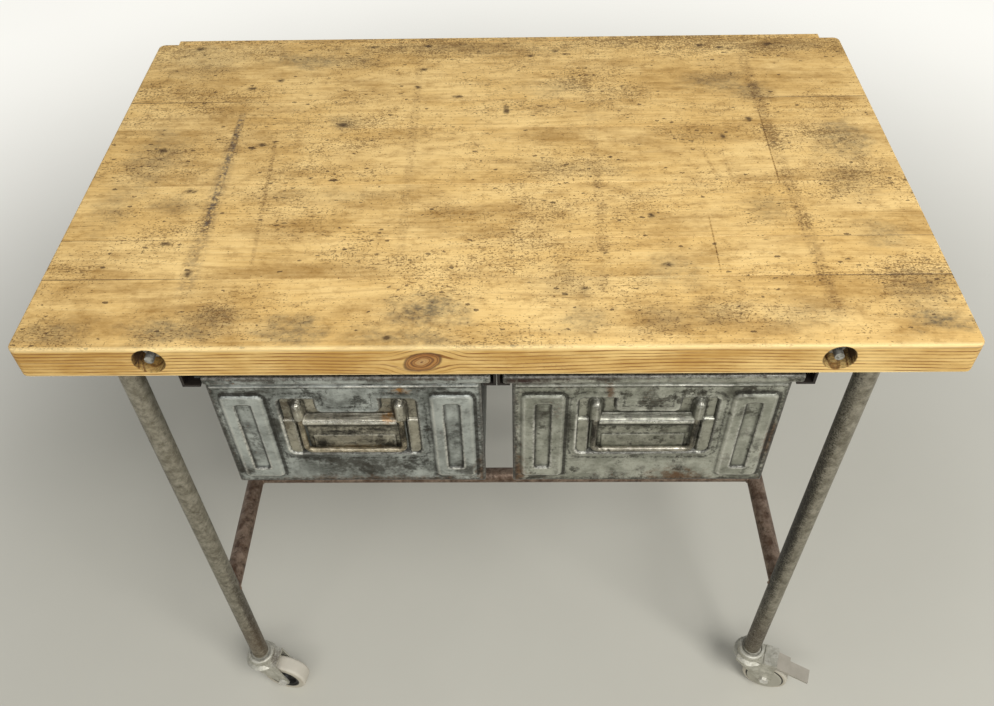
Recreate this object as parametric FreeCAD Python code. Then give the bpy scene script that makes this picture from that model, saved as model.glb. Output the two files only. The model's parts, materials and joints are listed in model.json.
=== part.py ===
import FreeCAD, Part
import math
import os

# A wheeled workbench: a glued pine top on a welded pipe frame with four swivel
# casters, and two pressed-steel drawers that slide in channels under the top.
# Millimetres. +X to the right, +Y to the back, +Z up. The origin is on the floor,
# under the middle of the whole bench.

V = FreeCAD.Vector

# ---------------------------------------------------------------- driving dimensions
BENCH_HEIGHT = 900.0
TOP_WIDTH = 1000.0
TOP_THICKNESS = 42.0
BOARD_WIDTHS = [106.0, 66.0, 103.0, 120.0, 66.0, 159.0]    # from front to back
TOP_SHIFT_X = -4.0            # the top sits a little to the left on its frame
TOP_CORNER_RADIUS = 9.0
TOP_EDGE_RADIUS = 2.0
BATTEN_THICKNESS = 10.0
BATTEN_LENGTH = 944.0
BATTEN_HEIGHT = 36.0
BATTEN_DROP = 1.0             # its upper edge below the worktop
BATTEN_SCREW_SPACING = 396.0

TIE_ROD_SPACING = 714.0       # between the two threaded rods that clamp the boards
TIE_ROD_RADIUS = 5.0
TIE_ROD_DROP = 19.5           # rod axis below the worktop
TIE_ROD_END = 13.0            # rod end beyond its nut
TIE_BORE_RADIUS = 6.0
COUNTERBORE_RADIUS = 17.0
COUNTERBORE_DEPTH = 26.0
WASHER_RADIUS = 15.0
WASHER_THICKNESS = 2.5
NUT_ACROSS_FLATS = 17.0
NUT_HEIGHT = 8.0

PIPE_RADIUS = 13.45
PIPE_WALL = 2.6
STRETCHER_RADIUS = 12.9
CROSS_STRETCHER_RADIUS = 12.4
LEG_SPAN_X = 827.0            # between leg axes
LEG_SPAN_Y = 530.0
LEG_FRONT_INSET = 45.0        # leg axis behind the front edge of the top
FRONT_RIGHT_SHIFT = (3.05, 9.0)    # that leg was welded a little out of square
LEG_PLATE_SIZE = 76.0
LEG_PLATE_THICKNESS = 4.0
LEG_SCREW_OFFSET = 28.0
STRETCHER_Z = 316.0
CROSS_STRETCHER_SETBACK = 210.0    # behind the front legs
UPPER_TUBE_DROP = 28.0        # axis of the upper side tubes below the top's underside

CASTER_HEIGHT = 105.0         # floor to the underside of the leg
CASTER_TRAIL = 35.0           # axle behind the swivel axis
STEM_PLUG_LENGTH = 45.0       # stem inside the leg
STEM_PLUG_CLEARANCE = 0.05
STEM_COLLAR_RADIUS = 14.45
STEM_COLLAR_HEIGHT = 3.0
KINGPIN_RADIUS = 5.0
RIVET_RADIUS = 8.0
RIVET_LOW_Z = 80.0
RIVET_TOP_Z = 84.0
SWIVEL_HEAD_RADIUS = 21.5
CROWN_RADIUS = 27.0           # sloping collar of the fork under its head
CROWN_TOP_Z = 91.0
SWIVEL_HEAD_LOW_Z = 88.0
SWIVEL_HEAD_TOP_Z = 102.0
SWIVEL_HEAD_EDGE = 3.0
SWIVEL_RIM_WIDTH = 4.5
SWIVEL_RECESS = 3.0
BRIDGE_LOW_Z = 84.3
BRIDGE_TOP_Z = 90.0
FORK_INNER_WIDTH = 31.0
FORK_PLATE = 2.5
FORK_HEEL_X = -19.0           # end of the fork away from the wheel
FORK_HEEL_Z = 74.0
FORK_TOE_X = 30.0
BRAKED_FORK_TOE_X = 46.0
AXLE_EYE_RADIUS = 11.0
CHEEK_FRONT = (11.0, 2.0)     # where the cheek's edges meet the eye, from the axle
CHEEK_BACK = (-9.0, -6.0)
AXLE_RADIUS = 4.0
AXLE_HEX_WIDTH = 13.0
AXLE_HEAD_HEIGHT = 5.0
AXLE_NUT_HEIGHT = 6.0
AXLE_END = 1.0                # axle end beyond its nut
WHEEL_RADIUS = 37.5
WHEEL_WIDTH = 26.0
TREAD_EDGE_RADIUS = 5.0
HUB_RADIUS = 25.0
HUB_RIM_WIDTH = 4.0
HUB_RIM_SETBACK = 2.0
HUB_WEB_HALF = 5.0
HUB_DRAFT = 1.0
HUB_BOSS_RADIUS = 9.0
HUB_BOSS_GAP = 1.0            # boss to fork cheek
GUARD_RADIUS = 29.0
GUARD_BORE_RADIUS = 12.0
GUARD_GAP = 0.6               # guard to wheel
GUARD_EDGE = 1.2
GUARD_BEVEL = 2.0
PEDAL_PIVOT_X = 40.0
PEDAL_PIVOT_Z = 84.0
PEDAL_ROOM = 9.0              # opening in the bridge before the pivot
COVER_FRONT_X = 24.0          # cover plate over the pedal's barrel
COVER_THICKNESS = 2.0
PEDAL_PIN_RADIUS = 2.5
PEDAL_BARREL_RADIUS = 5.0
PEDAL_SIDE_GAP = 0.5
PEDAL_ROOT_LENGTH = 28.0
PEDAL_ROOT_Z = (-4.0, 2.0)    # underside and upper side, from the pivot
PEDAL_LENGTH = 63.5           # pivot to tip
PEDAL_TOE_SIDE = 9.0          # the toe tab is cut back on one side
PEDAL_TOE_Z = (-3.0, 1.0)
PEDAL_SLOPE = 15.0
RUNNING_CLEARANCE = 0.08

DRAWER_WIDTH = 305.0
DRAWER_GAP = 33.0             # between the two drawer bodies
DRAWER_DEPTH = 460.0
DRAWER_BOTTOM_Z = 640.0
DRAWER_TOP_Z = 828.0          # underside of the side flanges
DRAWER_SETBACK = 18.0         # drawer face behind the front edge of the top
SHEET = 1.5
FLANGE_WIDTH = 10.5
LIP_HEIGHT = 12.0
LIP_DEPTH = 12.0
LIP_EDGE_RADIUS = 2.0
FRONT_RETURN = 14.0
FRONT_EDGE_RADIUS = 3.0
TUB_FRONT_GAP = 0.3           # between the tub's front edge and the bend of the face

RAIL_SHEET = 3.0
RAIL_LEDGE_TOP_Z = 827.7
RAIL_OUTER_WIDTH = 20.0
RAIL_INNER_WIDTH = 14.0
RAIL_BODY_GAP = 2.0           # ledge tip to drawer body
RAIL_SETBACK = 14.0
RAIL_LENGTH = 478.0
RAIL_SCREW_Y = [-262.0, -92.0, 113.0]
RAIL_SCREW_LENGTH = 25.0
LEG_SCREW_LENGTH = 30.0
BATTEN_SCREW_LENGTH = 35.0
SCREW_RADIUS = 2.25
SCREW_HEAD_RADIUS = 4.5
SCREW_HEAD_HEIGHT = 2.5
OVERCUT = 1.0                 # how far a cutter runs past the face that it opens

# drawer face: heights are measured down from the shoulder line
SHOULDER_Z = 820.0
BEAD_RADIUS = 3.0
PANEL_EDGE = 10.0             # drawer edge to raised side panel
PANEL_WIDTH = 50.0
PANEL_TOP = 14.0
PANEL_BOTTOM = 168.0
PANEL_PROUD = 3.0
PANEL_RUN = 3.0               # how far the sloping sides lean in
PANEL_RADIUS = 8.0
SLOT_WIDTH = 20.0
SLOT_TOP = 29.0
SLOT_BOTTOM = 151.0
SLOT_RUN = 2.0
SLOT_RADIUS = 4.0
POCKET_WIDTH = 158.0
POCKET_TOP = 21.0
POCKET_BOTTOM = 125.0
POCKET_DEPTH = 6.0
POCKET_RUN = 3.0
POCKET_RADIUS = 9.0
PLATE_INSET = 3.5             # handle plate inside the pocket's outline
TONGUE_WIDTH = 72.0
TONGUE_DEPTH = 24.0
KNUCKLE_DROP = 60.0
KNUCKLE_RADIUS = 6.5
KNUCKLE_WALL = 1.5
HORN_RISE = 26.0
EAR_WIDTH = 13.0
EAR_PROUD = 3.5
BAIL_WIDTH = 116.0            # between the arm axes
BAIL_DROP = 56.0              # pivot to bottom bar
BAIL_ROD_RADIUS = 3.4
BAIL_BEND = 8.0
BAIL_TOP_BEND = 4.0
BAIL_TAIL = 20.0              # straight end inside the knuckle
BAIL_STANDOFF = 0.6           # rod axis behind the drawer face
BAIL_CLEARANCE = 1.0          # arm to the sides of its slot
BAIL_SLOT_RISE = 4.5          # slot above the pivot

# ---------------------------------------------------------------- derived places
TOP_DEPTH = sum(BOARD_WIDTHS)
FRONT_Y = -(TOP_DEPTH + BATTEN_THICKNESS) / 2
TOP_BACK_Y = FRONT_Y + TOP_DEPTH
TOP_UNDER_Z = BENCH_HEIGHT - TOP_THICKNESS
LEG_X = LEG_SPAN_X / 2
LEG_FRONT_Y = FRONT_Y + LEG_FRONT_INSET
LEG_BACK_Y = LEG_FRONT_Y + LEG_SPAN_Y
CROSS_Y = LEG_FRONT_Y + CROSS_STRETCHER_SETBACK
FACE_Y = FRONT_Y + DRAWER_SETBACK
DRAWER_X = (DRAWER_GAP + DRAWER_WIDTH) / 2
AXLE_Z = WHEEL_RADIUS

CORNERS = {
    "front_left": (-LEG_X, LEG_FRONT_Y),
    "front_right": (LEG_X + FRONT_RIGHT_SHIFT[0], LEG_FRONT_Y + FRONT_RIGHT_SHIFT[1]),
    "back_left": (-LEG_X, LEG_BACK_Y),
    "back_right": (LEG_X, LEG_BACK_Y),
}
TRAIL_ANGLE = {"front_left": -12.0, "front_right": -20.0, "back_left": 180.0, "back_right": 152.0}
BRAKED = ["front_right", "back_left"]
SIDES = {"left": -1, "right": 1}

nodes = {}


# ---------------------------------------------------------------- helpers
def box(x0, x1, y0, y1, z0, z1):
    return Part.makeBox(x1 - x0, y1 - y0, z1 - z0, V(x0, y0, z0))


def rod(radius, start, end):
    return Part.makeCylinder(radius, (end - start).Length, start, end - start)


def hexagon_prism(across_flats, start, end):
    """A hexagonal bar between two points on the Y direction."""
    reach = across_flats / math.sqrt(3)
    corners = []
    for k in range(7):
        turn = math.radians(60 * k)
        corners.append(start + V(reach * math.cos(turn), 0, reach * math.sin(turn)))
    return Part.Face(Part.makePolygon(corners)).extrude(end - start)


def fuse_all(shapes):
    return shapes[0].fuse(shapes[1:]).removeSplitter()


def rounded_outline(points, radius, y):
    """A closed outline in the XZ plane at y, its corners rounded to arcs."""
    edges = []
    count = len(points)
    for k in range(count):
        corner = V(points[k][0], y, points[k][1])
        before = V(points[k - 1][0], y, points[k - 1][1])
        after = V(points[(k + 1) % count][0], y, points[(k + 1) % count][1])
        into = (before - corner).normalize()
        out = (after - corner).normalize()
        start = corner + into * radius
        stop = corner + out * radius
        bisector = (into + out).normalize()
        middle = corner + bisector * (radius * (math.sqrt(2) - 1))
        edges.append((Part.Arc(start, middle, stop).toShape(), start, stop))
    outline = []
    for k in range(count):
        outline.append(edges[k][0])
        outline.append(Part.LineSegment(edges[k][2], edges[(k + 1) % count][1]).toShape())
    return Part.Wire(outline)


def rectangle(x0, x1, z0, z1):
    return [(x0, z0), (x1, z0), (x1, z1), (x0, z1)]


def grown_rectangle(x0, x1, z0, z1, margin):
    return rectangle(x0 - margin, x1 + margin, z0 - margin, z1 + margin)


def pressing(outline_at, y_base, y_crest, run, radius):
    """A pressed form whose sides slope in by run, from the base plane to the crest plane."""
    wide = rounded_outline(outline_at(0.0), radius, y_base)
    narrow = rounded_outline(outline_at(-run), radius - run, y_crest)
    return Part.makeLoft([wide, narrow], True, True)


# ---------------------------------------------------------------- fasteners of the top
def rail_ranges(side):
    """The x ranges of one drawer's inner and outer rail, from web to ledge tip."""
    inner_tip = DRAWER_GAP / 2 - RAIL_BODY_GAP
    outer_tip = DRAWER_GAP / 2 + DRAWER_WIDTH + RAIL_BODY_GAP
    inner = (side * (inner_tip - RAIL_INNER_WIDTH), side * inner_tip)
    outer = (side * (outer_tip + RAIL_OUTER_WIDTH), side * outer_tip)
    return {"inner": inner, "outer": outer}


def roof_screw(x, y, head_top_z, length):
    """A round-head wood screw driven up into the top; its head's seat is at head_top_z."""
    shank = rod(SCREW_RADIUS, V(x, y, head_top_z), V(x, y, head_top_z + length))
    head = rod(SCREW_HEAD_RADIUS, V(x, y, head_top_z - SCREW_HEAD_HEIGHT), V(x, y, head_top_z))
    return shank.fuse(head).removeSplitter()


def make_rail_screws():
    screws = []
    seat_z = TOP_UNDER_Z - RAIL_SHEET
    for side in SIDES.values():
        for web_x, tip_x in rail_ranges(side).values():
            direction = math.copysign(1.0, tip_x - web_x)
            screw_x = (web_x + direction * RAIL_SHEET + tip_x) / 2
            for y in RAIL_SCREW_Y:
                screws.append(roof_screw(screw_x, y, seat_z, RAIL_SCREW_LENGTH))
    return screws


def make_leg_screws():
    screws = []
    seat_z = TOP_UNDER_Z - LEG_PLATE_THICKNESS
    for x, y in CORNERS.values():
        for dx in (-LEG_SCREW_OFFSET, LEG_SCREW_OFFSET):
            for dy in (-LEG_SCREW_OFFSET, LEG_SCREW_OFFSET):
                screws.append(roof_screw(x + dx, y + dy, seat_z, LEG_SCREW_LENGTH))
    return screws


def make_batten_screws():
    """Countersunk screws whose heads are flush with the back of the batten."""
    screws = []
    z = BENCH_HEIGHT - TOP_THICKNESS / 2
    back_y = TOP_BACK_Y + BATTEN_THICKNESS
    for k in (-1, 0, 1):
        x = TOP_SHIFT_X + k * BATTEN_SCREW_SPACING
        head_base = V(x, back_y - SCREW_HEAD_HEIGHT, z)
        shank = rod(SCREW_RADIUS, V(x, back_y - BATTEN_SCREW_LENGTH, z), head_base)
        head = Part.makeCone(SCREW_RADIUS, SCREW_HEAD_RADIUS, SCREW_HEAD_HEIGHT, head_base, V(0, 1, 0))
        screws.append(shank.fuse(head).removeSplitter())
    return screws


rail_screws = make_rail_screws()
leg_screws = make_leg_screws()
batten_screws = make_batten_screws()
nodes["rail_screws"] = rail_screws
nodes["leg_plate_screws"] = leg_screws
nodes["back_batten_screws"] = batten_screws


# ---------------------------------------------------------------- wooden top
def tie_rod_axes():
    z = BENCH_HEIGHT - TIE_ROD_DROP
    return [V(TOP_SHIFT_X - TIE_ROD_SPACING / 2, 0, z), V(TOP_SHIFT_X + TIE_ROD_SPACING / 2, 0, z)]


def make_slab():
    left = TOP_SHIFT_X - TOP_WIDTH / 2
    slab = box(left, left + TOP_WIDTH, FRONT_Y, TOP_BACK_Y, TOP_UNDER_Z, BENCH_HEIGHT)
    upright = [e for e in slab.Edges if abs(e.BoundBox.ZLength - TOP_THICKNESS) < 0.01]
    slab = slab.makeFillet(TOP_CORNER_RADIUS, upright)
    rims = [e for e in slab.Edges if e.BoundBox.ZLength < 0.01]
    return slab.makeFillet(TOP_EDGE_RADIUS, rims)


def make_boards():
    cutters = rail_screws + leg_screws + batten_screws
    for axis in tie_rod_axes():
        ends = [axis + V(0, FRONT_Y - OVERCUT, 0), axis + V(0, TOP_BACK_Y + OVERCUT, 0)]
        cutters.append(rod(TIE_BORE_RADIUS, ends[0], ends[1]))
        for outside, mouth, inward in ((ends[0], FRONT_Y, 1), (ends[1], TOP_BACK_Y, -1)):
            floor = axis + V(0, mouth + inward * COUNTERBORE_DEPTH, 0)
            cutters.append(rod(COUNTERBORE_RADIUS, outside, floor))
    slab = make_slab()
    y = FRONT_Y
    for number, width in enumerate(BOARD_WIDTHS, start=1):
        strip = box(-TOP_WIDTH, TOP_WIDTH, y, y + width, TOP_UNDER_Z - OVERCUT, BENCH_HEIGHT + OVERCUT)
        nodes["top_board_%d" % number] = [slab.common(strip).cut(cutters)]
        y += width


def make_tie_rods():
    rods = []
    washers = []
    nuts = []
    stickout = WASHER_THICKNESS + NUT_HEIGHT + TIE_ROD_END
    for axis in tie_rod_axes():
        seats = [(FRONT_Y + COUNTERBORE_DEPTH, -1), (TOP_BACK_Y - COUNTERBORE_DEPTH, 1)]
        ends = [axis + V(0, seat + out * stickout, 0) for seat, out in seats]
        rods.append(rod(TIE_ROD_RADIUS, ends[0], ends[1]))
        for seat, out in seats:
            washer_in = axis + V(0, seat, 0)
            washer_out = axis + V(0, seat + out * WASHER_THICKNESS, 0)
            nut_out = washer_out + V(0, out * NUT_HEIGHT, 0)
            bore = rod(TIE_ROD_RADIUS, washer_in, nut_out)
            washers.append(rod(WASHER_RADIUS, washer_in, washer_out).cut(bore))
            nuts.append(hexagon_prism(NUT_ACROSS_FLATS, washer_out, nut_out).cut(bore))
    nodes["tie_rods"] = rods
    nodes["tie_rod_washers"] = washers
    nodes["tie_rod_nuts"] = nuts


def make_batten():
    left = TOP_SHIFT_X - BATTEN_LENGTH / 2
    top_z = BENCH_HEIGHT - BATTEN_DROP
    batten = box(left, left + BATTEN_LENGTH, TOP_BACK_Y, TOP_BACK_Y + BATTEN_THICKNESS,
                 top_z - BATTEN_HEIGHT, top_z)
    nodes["back_batten"] = [batten.cut(batten_screws)]


make_boards()
make_tie_rods()
make_batten()


# ---------------------------------------------------------------- pipe frame
def pipe(radius, start, end):
    return rod(radius, start, end).cut(rod(radius - PIPE_WALL, start, end))


def make_frame():
    leg_cores = []
    plates = []
    leg_top_z = TOP_UNDER_Z - LEG_PLATE_THICKNESS
    half = LEG_PLATE_SIZE / 2
    for corner, (x, y) in CORNERS.items():
        foot = V(x, y, CASTER_HEIGHT)
        head = V(x, y, leg_top_z)
        nodes["leg_" + corner] = [pipe(PIPE_RADIUS, foot, head)]
        leg_cores.append(rod(PIPE_RADIUS, foot, head))
        plates.append(box(x - half, x + half, y - half, y + half, leg_top_z, TOP_UNDER_Z).cut(leg_screws))
    nodes["leg_plates"] = plates

    stretcher_cores = []
    cross_ends = []
    levels = {"side_stretcher_": STRETCHER_Z, "upper_side_tube_": TOP_UNDER_Z - UPPER_TUBE_DROP}
    for name in SIDES:
        front = V(*CORNERS["front_" + name], 0)
        back = V(*CORNERS["back_" + name], 0)
        for prefix, z in levels.items():
            ends = [front + V(0, 0, z), back + V(0, 0, z)]
            nodes[prefix + name] = [pipe(STRETCHER_RADIUS, ends[0], ends[1]).cut(leg_cores)]
            stretcher_cores.append(rod(STRETCHER_RADIUS, ends[0], ends[1]))
        along = (CROSS_Y - front.y) / (back.y - front.y)
        cross_ends.append(front + (back - front) * along + V(0, 0, STRETCHER_Z))
    cross = pipe(CROSS_STRETCHER_RADIUS, cross_ends[0], cross_ends[1])
    nodes["cross_stretcher"] = [cross.cut(stretcher_cores)]


make_frame()


# ---------------------------------------------------------------- drawer rails
def make_rail(web_x, tip_x):
    """A channel, open towards the drawer, closed by a stop plate at its back end."""
    direction = math.copysign(1.0, tip_x - web_x)
    y0 = FRONT_Y + RAIL_SETBACK
    y1 = y0 + RAIL_LENGTH
    low = RAIL_LEDGE_TOP_Z - RAIL_SHEET
    x_low = min(web_x, tip_x)
    x_high = max(web_x, tip_x)
    hollow_web = web_x + direction * RAIL_SHEET
    hollow_end = tip_x + direction * OVERCUT
    whole = box(x_low, x_high, y0, y1, low, TOP_UNDER_Z)
    hollow = box(min(hollow_web, hollow_end), max(hollow_web, hollow_end),
                 y0 - OVERCUT, y1 - RAIL_SHEET,
                 RAIL_LEDGE_TOP_Z, TOP_UNDER_Z - RAIL_SHEET)
    return whole.cut(hollow).cut(rail_screws)


for side_name, side in SIDES.items():
    for place, (web_x, tip_x) in rail_ranges(side).items():
        nodes["rail_%s_%s" % (side_name, place)] = [make_rail(web_x, tip_x)]


# ---------------------------------------------------------------- drawers
def face_box(x_centre, left, right, top, bottom, margin):
    """A rectangle on the drawer face, from distances to its left edge and shoulder line."""
    edge = x_centre - DRAWER_WIDTH / 2
    return grown_rectangle(edge + left, edge + right, SHOULDER_Z - bottom, SHOULDER_Z - top, margin)


def pocket_outline(x_centre, margin):
    """The handle pocket: a rectangle with a tongue standing down into its upper edge."""
    half = POCKET_WIDTH / 2 + margin
    tongue = TONGUE_WIDTH / 2 - margin
    top = SHOULDER_Z - POCKET_TOP + margin
    bottom = SHOULDER_Z - POCKET_BOTTOM - margin
    notch = top - TONGUE_DEPTH
    return [(x_centre - half, bottom), (x_centre + half, bottom), (x_centre + half, top),
            (x_centre + tongue, top), (x_centre + tongue, notch), (x_centre - tongue, notch),
            (x_centre - tongue, top), (x_centre - half, top)]


def pocket_plate(x_centre, y0, y1):
    """A flat plate that fills the pocket's floor, between two planes."""
    outline = rounded_outline(pocket_outline(x_centre, -PLATE_INSET), POCKET_RADIUS - PLATE_INSET, y0)
    return Part.Face(outline).extrude(V(0, y1 - y0, 0))


def pressed_face(x_centre, shift, shell):
    """The face as a block with its pressings; two of these, one sheet apart, make the sheet."""
    y = FACE_Y + shift
    block = box(x_centre - DRAWER_WIDTH / 2 + shell, x_centre + DRAWER_WIDTH / 2 - shell,
                y, FACE_Y + FRONT_RETURN + shell, DRAWER_BOTTOM_Z + shell, DRAWER_TOP_Z + shell)
    front_edges = []
    for edge in block.Edges:
        bounds = edge.BoundBox
        on_front = bounds.YMax < y + 0.01
        is_top = bounds.ZMin > DRAWER_TOP_Z - 0.01
        if on_front and not is_top:
            front_edges.append(edge)
    block = block.makeFillet(FRONT_EDGE_RADIUS - shell, front_edges)
    pads = []
    slots = []
    for left in (PANEL_EDGE, DRAWER_WIDTH - PANEL_EDGE - PANEL_WIDTH):
        slot_left = left + (PANEL_WIDTH - SLOT_WIDTH) / 2

        def panel(margin):
            return face_box(x_centre, left, left + PANEL_WIDTH, PANEL_TOP, PANEL_BOTTOM, margin)

        def slot(margin):
            return face_box(x_centre, slot_left, slot_left + SLOT_WIDTH, SLOT_TOP, SLOT_BOTTOM, margin)

        pads.append(pressing(panel, y, y - PANEL_PROUD, PANEL_RUN, PANEL_RADIUS))
        slots.append(pressing(slot, y - PANEL_PROUD, y, SLOT_RUN, SLOT_RADIUS))

    def pocket(margin):
        return pocket_outline(x_centre, margin)

    recess = pressing(pocket, y, y + POCKET_DEPTH, POCKET_RUN, POCKET_RADIUS)
    return block.fuse(pads).cut(slots).cut(recess)


def make_front(x_centre):
    """The pressed sheet of the drawer's face, with a bead along its shoulder line."""
    outside = pressed_face(x_centre, 0.0, 0.0)
    inside = pressed_face(x_centre, SHEET, SHEET)
    sheet = outside.cut(inside)
    reach = DRAWER_WIDTH / 2 - FRONT_EDGE_RADIUS
    bead = rod(BEAD_RADIUS, V(x_centre - reach, FACE_Y, SHOULDER_Z), V(x_centre + reach, FACE_Y, SHOULDER_Z))
    return sheet.fuse(bead.cut(inside)).removeSplitter()


def make_tub(x_centre):
    """The open box behind the face, with a flange along each side to slide on."""
    y0 = FACE_Y + 2 * SHEET + TUB_FRONT_GAP
    y1 = FACE_Y + DRAWER_DEPTH
    half = DRAWER_WIDTH / 2 - SHEET
    bottom = DRAWER_BOTTOM_Z + SHEET
    outer = box(x_centre - half, x_centre + half, y0, y1, bottom, DRAWER_TOP_Z)
    inner = box(x_centre - half + SHEET, x_centre + half - SHEET, y0 - OVERCUT, y1 - SHEET,
                bottom + SHEET, DRAWER_TOP_Z + OVERCUT)
    pieces = [outer.cut(inner)]
    for side in SIDES.values():
        near = x_centre + side * (half - SHEET)
        far = x_centre + side * (DRAWER_WIDTH / 2 + FLANGE_WIDTH)
        pieces.append(box(min(near, far), max(near, far), FACE_Y + LIP_DEPTH / 2, y1,
                          DRAWER_TOP_Z, DRAWER_TOP_Z + SHEET))
    return fuse_all(pieces)


def make_lip(x_centre):
    """The folded strip along the drawer's upper front edge, open to the back."""
    reach = DRAWER_WIDTH / 2 + FLANGE_WIDTH
    y0 = FACE_Y - LIP_DEPTH / 2
    y1 = y0 + LIP_DEPTH
    low = DRAWER_TOP_Z
    high = low + LIP_HEIGHT
    strip = box(x_centre - reach, x_centre + reach, y0, y1, low, high)
    long_front = [e for e in strip.Edges if e.BoundBox.YMax < y0 + 0.01 and e.BoundBox.XLength > reach]
    strip = strip.makeFillet(LIP_EDGE_RADIUS, long_front)
    hollow = box(x_centre - reach + SHEET, x_centre + reach - SHEET, y0 + SHEET, y1 + OVERCUT,
                 low + SHEET, high - SHEET)
    return strip.cut(hollow)


def knuckle_form(x_centre, radius):
    """The half-round U of the handle plate: a bar with both ends turned up."""
    y = FACE_Y + BAIL_STANDOFF
    z = SHOULDER_Z - KNUCKLE_DROP
    reach = BAIL_WIDTH / 2
    left = V(x_centre - reach, y, z)
    right = V(x_centre + reach, y, z)
    rise = V(0, 0, HORN_RISE)
    pieces = [rod(radius, left, right)]
    for foot in (left, right):
        pieces.append(rod(radius, foot, foot + rise))
        pieces.append(Part.makeSphere(radius, foot))
        pieces.append(Part.makeSphere(radius, foot + rise))
    back_y = FACE_Y + POCKET_DEPTH
    skirts = [box(left.x, right.x, y, back_y, z - radius, z + radius)]
    for foot in (left, right):
        skirts.append(box(foot.x - radius, foot.x + radius, y, back_y, z - radius, z + HORN_RISE))
        skirts.append(rod(radius, foot + rise, foot + rise + V(0, back_y - y, 0)))
    return fuse_all(pieces + skirts)


def make_handle_plate(x_centre):
    """The pressed plate in the pocket; its hollow knuckle holds the bail's ends."""
    floor_y = FACE_Y + POCKET_DEPTH
    plate = pocket_plate(x_centre, floor_y - SHEET, floor_y)
    knuckle_z = SHOULDER_Z - KNUCKLE_DROP
    ear_y = floor_y - SHEET - EAR_PROUD
    ears = []
    for side in SIDES.values():
        outer_x = x_centre + side * POCKET_WIDTH / 2
        inner_x = x_centre + side * (POCKET_WIDTH / 2 - PLATE_INSET - EAR_WIDTH)
        ear = box(min(inner_x, outer_x), max(inner_x, outer_x), ear_y, floor_y,
                  SHOULDER_Z - POCKET_BOTTOM, knuckle_z)
        ears.append(ear.common(pocket_plate(x_centre, ear_y, floor_y)))
    before_y = FACE_Y - 2 * KNUCKLE_RADIUS
    in_front = box(x_centre - POCKET_WIDTH, x_centre + POCKET_WIDTH, before_y, floor_y,
                   DRAWER_BOTTOM_Z, DRAWER_TOP_Z)
    knuckle = knuckle_form(x_centre, KNUCKLE_RADIUS).common(in_front)
    hollow = knuckle_form(x_centre, KNUCKLE_RADIUS - KNUCKLE_WALL).common(in_front)
    plate = fuse_all([plate, knuckle] + ears).cut(hollow)
    slots = []
    slot_half = BAIL_ROD_RADIUS + BAIL_CLEARANCE
    for side in SIDES.values():
        x = x_centre + side * BAIL_WIDTH / 2
        slots.append(box(x - slot_half, x + slot_half, before_y, floor_y - SHEET,
                         knuckle_z - 2 * KNUCKLE_RADIUS, knuckle_z + BAIL_SLOT_RISE))
    return plate.cut(slots)


def make_bail(x_centre):
    """The drop handle: one bent rod, its upper ends turned in to hinge in the knuckle."""
    y = FACE_Y + BAIL_STANDOFF
    top = SHOULDER_Z - KNUCKLE_DROP
    low = top - BAIL_DROP
    reach = BAIL_WIDTH / 2
    diagonal = 1 - math.sqrt(0.5)
    edges = []
    for side in (-1, 1):
        def at(x, z):
            return V(x_centre + side * x, y, z)

        tail = at(reach - BAIL_TOP_BEND - BAIL_TAIL, top)
        bend_in = at(reach - BAIL_TOP_BEND, top)
        bend_mid = at(reach - BAIL_TOP_BEND * diagonal, top - BAIL_TOP_BEND * diagonal)
        bend_out = at(reach, top - BAIL_TOP_BEND)
        arm_low = at(reach, low + BAIL_BEND)
        corner = at(reach - BAIL_BEND * diagonal, low + BAIL_BEND * diagonal)
        bar_end = at(reach - BAIL_BEND, low)
        edges.append(Part.LineSegment(tail, bend_in).toShape())
        edges.append(Part.Arc(bend_in, bend_mid, bend_out).toShape())
        edges.append(Part.LineSegment(bend_out, arm_low).toShape())
        edges.append(Part.Arc(arm_low, corner, bar_end).toShape())
        edges.append(Part.LineSegment(bar_end, V(x_centre, y, low)).toShape())
    path = Part.Wire(Part.sortEdges(edges)[0])
    start = V(x_centre - (reach - BAIL_TOP_BEND - BAIL_TAIL), y, top)
    section = Part.Wire(Part.makeCircle(BAIL_ROD_RADIUS, start, V(1, 0, 0)))
    return path.makePipeShell([section], True, True)


for side_name, side in SIDES.items():
    centre = side * DRAWER_X
    nodes["drawer_tub_" + side_name] = [make_tub(centre)]
    nodes["drawer_front_" + side_name] = [make_front(centre)]
    nodes["drawer_lip_" + side_name] = [make_lip(centre)]
    nodes["handle_plate_" + side_name] = [make_handle_plate(centre)]
    nodes["bail_" + side_name] = [make_bail(centre)]


# ---------------------------------------------------------------- casters
# Each caster is drawn with its swivel axis on Z and its wheel trailing towards +X.
def turned(profile):
    """A ring on the axle, from its half profile of (radius, y) points."""
    points = [V(CASTER_TRAIL + r, y, AXLE_Z) for r, y in profile]
    points.append(points[0])
    face = Part.Face(Part.makePolygon(points))
    return face.revolve(V(CASTER_TRAIL, 0, AXLE_Z), V(0, 1, 0), 360)


def make_stem():
    """The plug in the leg, its collar, and the kingpin with its riveted lower end."""
    collar_z = CASTER_HEIGHT - STEM_COLLAR_HEIGHT
    plug_radius = PIPE_RADIUS - PIPE_WALL - STEM_PLUG_CLEARANCE
    plug = rod(plug_radius, V(0, 0, CASTER_HEIGHT), V(0, 0, CASTER_HEIGHT + STEM_PLUG_LENGTH))
    collar = rod(STEM_COLLAR_RADIUS, V(0, 0, collar_z), V(0, 0, CASTER_HEIGHT))
    kingpin = rod(KINGPIN_RADIUS, V(0, 0, RIVET_LOW_Z), V(0, 0, collar_z))
    rivet = rod(RIVET_RADIUS, V(0, 0, RIVET_LOW_Z), V(0, 0, RIVET_TOP_Z))
    return fuse_all([plug, collar, kingpin, rivet])


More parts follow.
